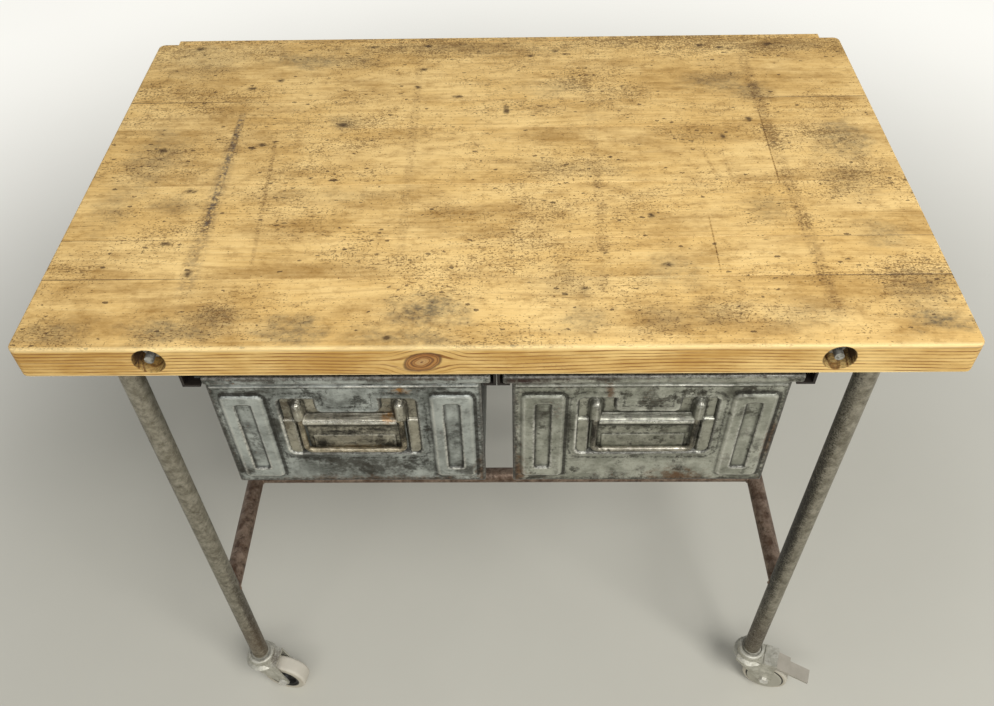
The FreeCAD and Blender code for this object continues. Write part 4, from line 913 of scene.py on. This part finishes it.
for name, part in nodes.items():
    part.data.materials.clear()
    part.data.materials.append(finish_of[name])
print(len(finish_of), "parts finished")

# %% [markdown]
# ## Small tools for modelling
# Each piece starts as a primitive of its size at its place, with its place moved into
# its mesh. In edit mode the next operator works on what is selected, so the selection
# is made in code, by where a corner, an edge or a face lies.

# %% Modelling helpers


def deselect():
    """Leave edit mode, and deselect everything."""
    if bpy.context.object and bpy.context.object.mode == "EDIT":
        bpy.ops.object.mode_set(mode="OBJECT")
    bpy.ops.object.select_all(action="DESELECT")


def start_piece(name, scale=None):
    """Name the new primitive and put its place, turn and size into its mesh."""
    piece = bpy.context.object
    piece.name = name
    if scale:
        piece.scale = scale
    bpy.ops.object.transform_apply(location=True, rotation=True, scale=True)
    return piece


def start_box(name, low, high):
    deselect()
    middle = (Vector(low) + Vector(high)) / 2
    bpy.ops.mesh.primitive_cube_add(size=1, location=middle, scale=Vector(high) - Vector(low))
    return start_piece(name)


def edit(piece):
    bpy.context.view_layer.objects.active = piece
    if piece.mode != "EDIT":
        bpy.ops.object.mode_set(mode="EDIT")


def pick(piece, kind, test):
    """In edit mode, select the verts, edges or faces that pass a test, and no others."""
    edit(piece)
    bpy.ops.mesh.select_mode(type={"verts": "VERT", "edges": "EDGE", "faces": "FACE"}[kind])
    bpy.ops.mesh.select_all(action="DESELECT")
    form = bmesh.from_edit_mesh(piece.data)
    chosen = [part for part in getattr(form, kind) if test(part)]
    for part in chosen:
        part.select_set(True)
    bmesh.update_edit_mesh(piece.data)


def pick_all(piece):
    edit(piece)
    bpy.ops.mesh.select_all(action="SELECT")


def middle_of(part):
    """The middle of an edge or a face."""
    total = Vector()
    for vertex in part.verts:
        total += vertex.co
    return total / len(part.verts)


def apply_modifier(piece, kind, **settings):
    """Add a modifier with its settings and apply it at once."""
    deselect()
    piece.select_set(True)
    bpy.context.view_layer.objects.active = piece
    modifier = piece.modifiers.new(kind.lower(), kind)
    for name, value in settings.items():
        setattr(modifier, name, value)
    bpy.ops.object.modifier_apply(modifier=modifier.name)


def wave(piece, texture, strength, mid_level, direction="NORMAL", group=""):
    """Move the piece's corners by a cloud texture; a group keeps it to some of them."""
    apply_modifier(piece, "DISPLACE", texture=texture, texture_coords="LOCAL", direction=direction,
                   strength=strength, mid_level=mid_level, vertex_group=group)


def slice_piece(piece, axis, places):
    """Cut square across an axis (0, 1 or 2) at each place, for more corners to move."""
    normal = Vector((0, 0, 0))
    normal[axis] = 1
    for place in places:
        pick_all(piece)
        bpy.ops.mesh.bisect(plane_co=normal * place, plane_no=normal)


def steps_between(low, high, count):
    """The places that divide a length into count equal parts."""
    return [low + step * (high - low) / count for step in range(1, count)]


def group_corners(piece, name, test):
    """A vertex group of the corners that pass a test, for a modifier to work on."""
    deselect()
    group = piece.vertex_groups.new(name=name)
    group.add([v.index for v in piece.data.vertices if test(v.co)], 1.0, "REPLACE")
    return name


def mark_relief(piece, gain=4.0, passes=2):
    """Store on each corner how far it stands out (ridge) or lies in (hollow), from 0 to 1."""
    mesh = piece.data
    count = len(mesh.vertices)
    places, normals = numpy.empty(count * 3), numpy.empty(count * 3)
    mesh.vertices.foreach_get("co", places)
    mesh.vertices.foreach_get("normal", normals)
    places, normals = places.reshape(-1, 3), normals.reshape(-1, 3)
    ends = numpy.empty(len(mesh.edges) * 2, dtype=numpy.int32)
    mesh.edges.foreach_get("vertices", ends)
    first, second = ends[::2], ends[1::2]
    along = places[second] - places[first]
    along /= numpy.maximum(numpy.linalg.norm(along, axis=1, keepdims=True), 1e-9)
    bend, share = numpy.zeros(count), numpy.zeros(count)
    numpy.add.at(bend, first, (normals[first] * along).sum(axis=1))
    numpy.add.at(bend, second, -(normals[second] * along).sum(axis=1))
    numpy.add.at(share, first, 1.0)
    numpy.add.at(share, second, 1.0)
    share = numpy.maximum(share, 1.0)
    bend /= share
    for _ in range(passes):
        spread = numpy.zeros(count)
        numpy.add.at(spread, first, bend[second])
        numpy.add.at(spread, second, bend[first])
        bend = bend * 0.4 + spread / share * 0.6
    for label, values in (("ridge", -bend * gain), ("hollow", bend * gain)):
        attribute = mesh.attributes.new(label, "FLOAT", "POINT")
        attribute.data.foreach_set("value", numpy.clip(values, 0.0, 1.0))


def mark(piece, label, test):
    """Store a value from 0 to 1 on each corner, for the finish to read."""
    deselect()
    values = [max(0.0, min(1.0, test(v.co))) for v in piece.data.vertices]
    piece.data.attributes.new(label, "FLOAT", "POINT").data.foreach_set("value", values)


def retouch(piece, label, change):
    """Change a stored value by where its corner lies."""
    deselect()
    for vertex, spot in zip(piece.data.vertices, piece.data.attributes[label].data):
        spot.value = max(0.0, min(1.0, change(vertex.co, spot.value)))


def finish_piece(piece, body, replaced, finish, angle=40):
    """Smooth the piece, give it its finish, and say what it rides on and stands for."""
    deselect()
    piece.select_set(True)
    bpy.context.view_layer.objects.active = piece
    bpy.ops.object.shade_smooth_by_angle(angle=math.radians(angle))
    piece.data.materials.clear()
    piece.data.materials.append(finish)
    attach(piece, body)
    if replaced:
        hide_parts(*replaced)
    return piece


def make_clouds(name, size, depth=2):
    clouds = bpy.data.textures.new(name, "CLOUDS")
    clouds.noise_scale = size
    clouds.noise_depth = depth
    return clouds


print("modelling helpers ready")

# %% [markdown]
# ## The boards
# Each board is a cube of its size. The outer corners of the top are rounded first, then
# the long arrises: worn round outside, and barely broken where two boards meet, so the
# joint reads as a hairline. A Boolean sinks the holes for the tie rods. Cuts across
# the board with Bisect give the Displace modifiers corners to move, so the old surface
# waves a little. Weighted normals keep the wide faces flat beside the small bevels.

# %% Make the boards
CORNER_RADIUS = 0.009
ARRIS_RADIUS, LOWER_ARRIS_RADIUS = 0.0030, 0.0018
JOINT_BEVEL, RIM_BEVEL = 0.0003, 0.0007
HOLE_RADIUS, HOLE_DEPTH = 0.017, 0.026
BOARD_SLICES = 40
ROW_WIDTH = 0.025
wood_waves = make_clouds("wood_waves", 0.05)


def sink_hole(board, x, mouth):
    """A round hole for a tie rod's nut, cut with a Boolean, its rim slightly worn."""
    deselect()
    bpy.ops.mesh.primitive_cylinder_add(vertices=64, radius=HOLE_RADIUS, depth=2 * HOLE_DEPTH,
                                        location=(x, mouth, TIE_Z), rotation=(math.pi / 2, 0, 0))
    drill = start_piece("drill")
    apply_modifier(board, "BOOLEAN", object=drill, operation="DIFFERENCE", solver="EXACT")
    bpy.data.objects.remove(drill)

    def on_rim(edge):
        return all(abs(v.co.y - mouth) < 1e-5 and
                   abs(math.hypot(v.co.x - x, v.co.z - TIE_Z) - HOLE_RADIUS) < 1e-4 for v in edge.verts)

    pick(board, "edges", on_rim)
    bpy.ops.mesh.bevel(offset=RIM_BEVEL, segments=2, affect="EDGES")


def make_board(number):
    node = "top_board_%d" % number
    low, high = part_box(node)
    board = start_box("board_%d" % number, low, high)
    outer_y = {1: low.y, 6: high.y}.get(number)
    if outer_y is not None:
        pick(board, "edges", lambda e: abs(e.verts[0].co.z - e.verts[1].co.z) > 0.01
             and abs(middle_of(e).y - outer_y) < 1e-5)
        bpy.ops.mesh.bevel(offset=CORNER_RADIUS, segments=5, affect="EDGES")

    def is_joint(edge):
        return any(all(abs(v.co.y - side) < 1e-5 for v in edge.verts) for side in (low.y, high.y) if side != outer_y)

    for level, radius in ((high.z, ARRIS_RADIUS), (low.z, LOWER_ARRIS_RADIUS)):
        pick(board, "edges", lambda e: all(abs(v.co.z - level) < 1e-5 for v in e.verts) and not is_joint(e))
        bpy.ops.mesh.bevel(offset=radius, segments=3, affect="EDGES")
    pick(board, "edges", lambda e: abs(e.verts[0].co.x - e.verts[1].co.x) > 0.5 and is_joint(e))
    bpy.ops.mesh.bevel(offset=JOINT_BEVEL, segments=1, affect="EDGES")
    if outer_y is not None:
        for x in TIE_X:
            sink_hole(board, x, outer_y)
    slice_piece(board, 0, steps_between(low.x, high.x, BOARD_SLICES))
    slice_piece(board, 1, steps_between(low.y, high.y, max(2, round((high.y - low.y) / ROW_WIDTH))))
    upper = group_corners(board, "upper", lambda co: co.z > high.z - 0.0005)
    wave(board, wood_waves, 0.0007, 1.02, "Z", upper)   # above 1, so that no crest rises over the solid
    if number == 1:
        front = group_corners(board, "front", lambda co: co.y < low.y + 0.0005)
        wave(board, wood_waves, 0.0010, 0.0, "Y", front)
    finish_piece(board, "bench", [node], board_pine[number - 1], 30)
    apply_modifier(board, "WEIGHTED_NORMAL", keep_sharp=True)
    return board


boards = [make_board(number) for number in range(1, 7)]
print("boards", [len(board.data.polygons) for board in boards], "faces")

# %% [markdown]
# ## Weld beads
# A weld is a row of small frozen puddles along the seam where one pipe meets another. A
# torus laid round the smaller pipe is the start. The seam isn't flat, because the end
# of the pipe is cut to fit round the other one, so each corner of the torus slides
# along the pipe to the larger pipe's surface. Clouds then make the puddles.

# %% Make the weld beads
LEG_RADIUS, STRETCHER_RADIUS, CROSS_RADIUS = 0.01345, 0.0129, 0.0124
CROSS_Y = -0.060
LOW_TUBE_Z, HIGH_TUBE_Z = 0.316, 0.830
weld_lumps = make_clouds("weld_lumps", 0.006, 1)


def make_weld(name, joint, along, across, small, large):
    """A bead round a pipe of radius small that leaves joint and meets a pipe of radius
    large; across is the direction that is square to both pipes, as 0, 1 or 2."""
    turn = (0, math.pi / 2, 0) if along[0] else (math.pi / 2, 0, 0)
    deselect()
    bpy.ops.mesh.primitive_torus_add(major_radius=small + 0.0003, minor_radius=0.0024, major_segments=48,
                                     minor_segments=8, location=joint, rotation=turn)
    bead = start_piece(name)
    for vertex in bead.data.vertices:
        side = min(abs(vertex.co[across] - joint[across]), large * 0.98)
        vertex.co += Vector(along) * math.sqrt(large ** 2 - side ** 2)
    wave(bead, weld_lumps, 0.0022, 0.55)
    return finish_piece(bead, "bench", [], brown_pipe, 60)


welds = []
for side_name, side in (("left", -1), ("right", 1)):
    legs = {end: sum(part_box("leg_%s_%s" % (end, side_name)), Vector()) / 2 for end in ("front", "back")}
    for level_name, level in (("low", LOW_TUBE_Z), ("high", HIGH_TUBE_Z)):
        for end, way in (("front", 1), ("back", -1)):
            welds.append(make_weld("weld_%s_%s_%s" % (side_name, level_name, end), (legs[end].x, legs[end].y, level),
                                   (0, way, 0), 0, STRETCHER_RADIUS, LEG_RADIUS))
    share = (CROSS_Y - legs["front"].y) / (legs["back"].y - legs["front"].y)
    joint_x = legs["front"].x + (legs["back"].x - legs["front"].x) * share
    welds.append(make_weld("weld_cross_" + side_name, (joint_x, CROSS_Y, LOW_TUBE_Z), (-side, 0, 0), 2,
                           CROSS_RADIUS, STRETCHER_RADIUS))
print(len(welds), "weld beads")

# %% [markdown]
# ## The drawer fronts
# A front is one sheet pressed in a die: two raised panels with a slot in each, a bead
# along the top and a pocket for the handle. A grid with cells of about a millimetre is
# the sheet. It is pressed in strokes, as in a real press: the corners that lie deeper
# inside an outline than the stroke's limit are moved, so the walls of each form slope.
# One smoothing takes the sharpness of the strokes away. The rim is rolled back and
# extruded, Solidify gives the sheet its thickness, and clouds dent it. One front is
# modelled and copied, and each copy is dented after it has been moved to its place.

# %% Pressing tools
FACE_Y = -0.297
SHOULDER_Z = 0.820
DRAWER_X = 0.169
FACE_HALF = 0.1525
FACE_LOW, FACE_HIGH = 0.640, 0.828
SHEET, PLATE_SHEET = 0.0015, 0.0012
FRONT_CELL, PLATE_CELL = 0.00125, 0.0009
sheet_waves = make_clouds("sheet_waves", 0.06)


def inside_round(u, z, centre, half, low, high, radius):
    """How deep a point lies inside a rectangle with rounded corners; below 0 outside."""
    du = abs(u - centre) - (half - radius)
    dz = abs(z - (low + high) / 2) - ((high - low) / 2 - radius)
    return radius - math.hypot(max(du, 0.0), max(dz, 0.0)) - min(max(du, dz), 0.0)


def inside_pocket(u, z):
    """The handle pocket: a rectangle with a tongue standing down into its upper edge."""
    body = inside_round(u, z, 0.0, 0.079, SHOULDER_Z - 0.1232, SHOULDER_Z - 0.021, 0.009)
    tongue = inside_round(u, z, 0.0, 0.036, SHOULDER_Z - 0.045, SHOULDER_Z + 0.05, 0.007)
    return min(body, -tongue)


def start_sheet(name, half, low, high, y, cell):
    """A grid of cells that faces the front, centred on x = 0."""
    deselect()
    bpy.ops.mesh.primitive_grid_add(x_subdivisions=round(2 * half / cell), y_subdivisions=round((high - low) / cell),
                                    size=1, location=(0, y, (low + high) / 2), rotation=(math.pi / 2, 0, 0))
    return start_piece(name, (2 * half, high - low, 1))


def depths_in(piece, outline):
    """How deep each corner of the sheet lies inside an outline."""
    deselect()
    return [outline(v.co.x, v.co.z) for v in piece.data.vertices]


def pick_marked(piece, marks):
    """Select exactly the corners that are marked."""
    edit(piece)
    bpy.ops.mesh.select_mode(type="VERT")
    form = bmesh.from_edit_mesh(piece.data)
    for vertex, marked in zip(form.verts, marks):
        vertex.select = marked
    form.select_flush_mode()
    bmesh.update_edit_mesh(piece.data)


def press(piece, outline, push, reach, strokes=4):
    """Press by push along Y what lies inside an outline; its walls slope over reach."""
    depths = depths_in(piece, outline)
    for stroke in range(strokes):
        limit = reach * (stroke + 0.5) / strokes
        pick_marked(piece, [depth > limit for depth in depths])
        bpy.ops.transform.translate(value=(0, push / strokes, 0))


def press_round(piece, outline, radius, base, strokes=7):
    """Press out a half-round form of a radius that stands on walls of height base."""
    depths = depths_in(piece, outline)
    height = 0.0
    for stroke in range(strokes):
        limit = radius * stroke / strokes
        wanted = base + math.sqrt(radius ** 2 - (radius - limit) ** 2) if stroke else base * 0.6
        pick_marked(piece, [depth > limit for depth in depths])
        bpy.ops.transform.translate(value=(0, height - wanted, 0))
        height = wanted


print("pressing tools ready")

# %% Press the drawer front
PANEL_AT = 0.1175


def inside_panel(u, z):
    return inside_round(abs(u), z, PANEL_AT, 0.025, SHOULDER_Z - 0.168, SHOULDER_Z - 0.014, 0.008)


def inside_slot(u, z):
    return inside_round(abs(u), z, PANEL_AT, 0.010, SHOULDER_Z - 0.151, SHOULDER_Z - 0.029, 0.004)


front_form = start_sheet("front_form", FACE_HALF, FACE_LOW, FACE_HIGH, FACE_Y, FRONT_CELL)
press(front_form, inside_panel, -0.003, 0.003)
press(front_form, inside_slot, 0.0032, 0.0022, 3)
press(front_form, lambda u, z: inside_pocket(u, z) + 0.0045, -0.0010, 0.0040, 3)
press(front_form, inside_pocket, 0.0068, 0.003)
press_round(front_form, lambda u, z: min(0.0020 - abs(z - SHOULDER_Z), 0.1495 - abs(u)), 0.0020, 0.0, 2)
rim = depths_in(front_form, lambda u, z: min(FACE_HALF - abs(u), z - FACE_LOW))
for limit, push in ((0.0024, 0.00035), (0.0012, 0.0008), (0.0004, 0.0018)):
    pick_marked(front_form, [depth < limit for depth in rim])
    bpy.ops.transform.translate(value=(0, push, 0))
pick_all(front_form)
bpy.ops.mesh.vertices_smooth(factor=0.5, repeat=1)
pick(front_form, "edges", lambda e: e.is_boundary and middle_of(e).z < FACE_HIGH - 0.0005)
bpy.ops.mesh.extrude_region_move(TRANSFORM_OT_translate={"value": (0, 0.011, 0)})
deselect()


def to_upper_right(co):
    """1 on the right and upper sides of a panel or a slot, 0 on its left and lower sides."""
    along = (co.x - math.copysign(PANEL_AT, co.x)) / 0.025
    up = (co.z - SHOULDER_Z + 0.091) / 0.077
    return 1.0 if (along if abs(along) > abs(up) else up) > 0 else 0.0


def pocket_rim_is_dark(co):
    """The pocket's rim takes painted shade along the top, on the right and under the handle, where its shadow falls.
    """
    return co.z > SHOULDER_Z - 0.050 or co.x > 0.070 or (co.z < SHOULDER_Z - 0.112 and abs(co.x) < 0.066)


def face_dirt_and_shade(co):
    """Where the face is darkened: dirt in the walls of the slots and the pocket and along the
    rims, and painted shade beside the raised panels, most on their upper and right sides,
    round the pocket, under the lip, below the bead and under the handle."""
    panel, slot, pocket = inside_panel(co.x, co.z), inside_slot(co.x, co.z), inside_pocket(co.x, co.z)
    upper_right = to_upper_right(co)
    beside_panel = 0.6 + 0.75 * upper_right - abs(panel + 0.0008) / 0.0045 if panel < 0.0010 else 0.0
    in_slot = 1.3 - 0.3 * upper_right - abs(slot - 0.0010) / 0.0024
    in_pocket = 1.2 - abs(pocket - 0.0028) / 0.0030
    pocket_line = 1.2 - abs(pocket - 0.0003) / 0.0020 if pocket_rim_is_dark(co) else 0.0
    round_pocket = 0.8 - abs(pocket + 0.0085) / 0.0045
    near_rim = 1.2 - min(FACE_HALF - abs(co.x), co.z - FACE_LOW) / 0.0085
    under_lip = 0.9 - (FACE_HIGH - co.z) / 0.0060
    below_bead = 0.9 - abs(co.z - SHOULDER_Z + 0.0030) / 0.0035
    return max(beside_panel, in_slot, in_pocket, pocket_line, round_pocket, near_rim, under_lip, below_bead)


def rim_wear_and_highlight(co):
    """How bright a rim is, from wear and from a painted highlight: most on the left and lower
    rims of the panels and on the pocket's left rim, least on the outer rim and where the
    pocket's rim takes painted shade."""
    if min(FACE_HALF - abs(co.x), co.z - FACE_LOW) < 0.0045:
        return 0.25
    if inside_pocket(co.x, co.z) > -0.008:
        return 0.3 if pocket_rim_is_dark(co) else 1.2 if co.x < 0 else 0.7
    return 1.25 - 0.75 * to_upper_right(co)


mark(front_form, "soot_and_shade", face_dirt_and_shade)
mark(front_form, "raised", lambda co: min(inside_panel(co.x, co.z) / 0.0025,
                                          max(0.45, 1.0 - inside_slot(co.x, co.z) / 0.0010)))
mark(front_form, "edge", lambda co: 1.0 - min(FACE_HALF - abs(co.x), co.z - FACE_LOW) / 0.011)
mark_relief(front_form, 5.5, 1)
# The front's ridge value is scaled here to paint highlights on the left and lower rims.
retouch(front_form, "ridge", lambda co, value: value * rim_wear_and_highlight(co))
print("front form", len(front_form.data.polygons), "faces")

# %% Copy, dent and finish the fronts


def copy_to(form, name, offset):
    """A copy with its own mesh, moved inside its mesh."""
    piece = form.copy()
    piece.data = form.data.copy()
    piece.name = name
    bpy.context.collection.objects.link(piece)
    piece.data.transform(Matrix.Translation(offset))
    return piece


for side_name, side in (("left", -1), ("right", 1)):
    centre = side * DRAWER_X
    front = copy_to(front_form, "front_" + side_name, (centre, 0, 0))
    dented = group_corners(front, "face", lambda co: co.y < FACE_Y + 0.0075)
    wave(front, sheet_waves, 0.0016, 0.5, "Y", dented)
    apply_modifier(front, "SOLIDIFY", thickness=SHEET, offset=-1.0)
    finish_piece(front, "drawer_" + side_name, ["drawer_front_" + side_name], drawer_steels[side_name],
                 60)
bpy.data.objects.remove(front_form)
print("two drawer fronts")

# %% [markdown]
# ## The handle plates
# The plate behind each handle is a second, smaller sheet that lies in the pocket. It
# has a half-round ridge with both ends turned up, which holds the ends of the handle,
# two raised ears beside it, and a window below. The crease across the window of the
# real plate is left out. The rest is pressed with the same strokes. Its rim passes
# under the pocket's sloping walls, so no gap shows.

# %% Press the handle plate
PLATE_Y = -0.2925
KNUCKLE_Z = 0.760
KNUCKLE_RADIUS = 0.0065
HORN_RISE = 0.026
BAIL_HALF = 0.058


def inside_knuckle(u, z):
    """How deep a point lies inside the ridge: a bar with both ends turned up."""
    bar = math.hypot(max(abs(u) - BAIL_HALF, 0.0), z - KNUCKLE_Z)
    climb = min(max(z, KNUCKLE_Z), KNUCKLE_Z + HORN_RISE)
    horn = math.hypot(abs(u) - BAIL_HALF, z - climb)
    return KNUCKLE_RADIUS - min(bar, horn)


def inside_window(u, z):
    return inside_round(u, z, 0.0, 0.049, SHOULDER_Z - 0.121, 0.729, 0.003)


plate_form = start_sheet("plate_form", 0.0778, SHOULDER_Z - 0.1238, SHOULDER_Z - 0.0222, PLATE_Y, PLATE_CELL)
pick_marked(plate_form, [depth < 0.0012 for depth in depths_in(plate_form, inside_pocket)])
bpy.ops.mesh.delete(type="VERT")
for side in (-1, 1):
    press(plate_form, lambda u, z: inside_round(u, z, side * 0.0715, 0.0075, SHOULDER_Z - 0.130, KNUCKLE_Z, 0.0025),
          -0.0035, 0.0012, 2)
press(plate_form, inside_window, -0.0012, 0.0016, 2)
press_round(plate_form, inside_knuckle, KNUCKLE_RADIUS, 0.0035)
pick_all(plate_form)
bpy.ops.mesh.vertices_smooth(factor=0.5, repeat=1)
arm_slots = depths_in(plate_form, lambda u, z: min(0.0040 - abs(abs(u) - BAIL_HALF), KNUCKLE_Z + 0.0045 - z))
pick_marked(plate_form, [depth > 0 for depth in arm_slots])
bpy.ops.mesh.delete(type="VERT")
deselect()


def plate_dirt_and_shade(co):
    """Dirt and painted shade on the plate: shadow under the ridge and beside the handle's
    arms, and darkening round the ridge's ends, the window and along the pocket's walls."""
    under_ridge = 1.4 - abs(co.z - KNUCKLE_Z + 0.0118) / 0.0085 if abs(co.x) < BAIL_HALF else 0.0
    beside_arm = 1.4 - abs(abs(co.x) - BAIL_HALF) / 0.0080 if co.z < KNUCKLE_Z + 0.003 else 0.0
    over_ridge = 0.8 - abs(co.z - KNUCKLE_Z - KNUCKLE_RADIUS - 0.0015) / 0.0030 if abs(co.x) < 0.050 else 0.0
    beside_horn = 1.0 - abs(inside_knuckle(co.x, co.z) + 0.0020) / 0.0032
    by_wall = 1.0 - inside_pocket(co.x, co.z) / 0.0036
    by_window = 1.0 - abs(inside_window(co.x, co.z)) / 0.0014
    return max(under_ridge, beside_arm, over_ridge, beside_horn, by_wall, by_window)


def painted_bar_highlight(co):
    """A painted highlight along the ridge's upper front and up its ends, where the lamps are reflected."""
    if inside_knuckle(co.x, co.z) < 0.0006:
        return 0.0
    along_bar = 1.05 - abs(co.z - KNUCKLE_Z - 0.0012) / 0.0030 if abs(co.x) < BAIL_HALF + 0.002 else 0.0
    up_end = 0.55 - abs(abs(co.x) - BAIL_HALF + 0.0008) / 0.0030 if co.z > KNUCKLE_Z + 0.004 else 0.0
    return max(along_bar, up_end)


def plate_lift(co):
    """How light the plate is outside the handle: its two ears are, the corners over them less."""
    if abs(co.x) < BAIL_HALF + 0.006:
        return 0.0
    return 0.9 if co.z < KNUCKLE_Z else 0.45


mark(plate_form, "soot_and_shade", plate_dirt_and_shade)
mark(plate_form, "raised", plate_lift)
mark_relief(plate_form, 4.0, 1)
# The plate's ridge value takes the painted highlight along the ridge.
retouch(plate_form, "ridge", lambda co, value: max(value * 0.6, painted_bar_highlight(co)))
print("plate form", len(plate_form.data.polygons), "faces")

# %% Copy and finish the plates
for side_name, side in (("left", -1), ("right", 1)):
    plate = copy_to(plate_form, "plate_" + side_name, (side * DRAWER_X, 0, 0))
    wave(plate, sheet_waves, 0.0010, 0.5, "Y")
    apply_modifier(plate, "SOLIDIFY", thickness=PLATE_SHEET, offset=-1.0)
    finish_piece(plate, "drawer_" + side_name, ["handle_plate_" + side_name], handle_steels[side_name],
                 60)
bpy.data.objects.remove(plate_form)
print("two handle plates")

# %% [markdown]
# ## The lips
# Above each front a strip is folded forward over the flanges. Its long edges are soft
# from use. A cube of its size is cut into short lengths, its edges are bevelled, and
# clouds dent it slightly.

# %% Make the lips


def make_lip(side_name):
    low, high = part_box("drawer_lip_" + side_name)
    low, high = low + Vector((0.0004, 0.0004, 0.0)), high - Vector((0.0004, 0.0, 0.0004))
    if side_name == "left":
        low.x = -DRAWER_X - FACE_HALF
    lip = start_box("lip_" + side_name, low, high)
    pick(lip, "faces", lambda f: f.normal.y > 0.9)
    bpy.ops.mesh.delete(type="ONLY_FACE")
    pick(lip, "edges", lambda e: not e.is_boundary)
    bpy.ops.mesh.bevel(offset=0.0028, segments=4, affect="EDGES")
    slice_piece(lip, 0, steps_between(low.x, high.x, 60))
    slice_piece(lip, 2, [low.z + level * (high.z - low.z) for level in (0.3, 0.5, 0.7)])
    dented = group_corners(lip, "dented", lambda co: co.y < high.y - 0.002)
    wave(lip, sheet_waves, 0.0020, 0.3, "Y", dented)
    mark(lip, "edge", lambda co: 1.0 - min(abs(co.z - low.z), abs(co.z - high.z)) / 0.005)
    # Painted shade along the lip's top under the table top, and dirt along its lower edge and at its ends.
    mark(lip, "soot_and_shade", lambda co: max(1.1 - (high.z - co.z) / 0.005, 0.9 - (co.z - low.z) / 0.004,
                                     0.9 - min(co.x - low.x, high.x - co.x) / 0.014))
    mark_relief(lip, 2.5, 1)
    apply_modifier(lip, "SOLIDIFY", thickness=SHEET, offset=-1.0)
    return finish_piece(lip, "drawer_" + side_name, ["drawer_lip_" + side_name], drawer_steels[side_name],
                        50)


lips = [make_lip(side_name) for side_name in ("left", "right")]
print("lips", [len(lip.data.polygons) for lip in lips], "faces")
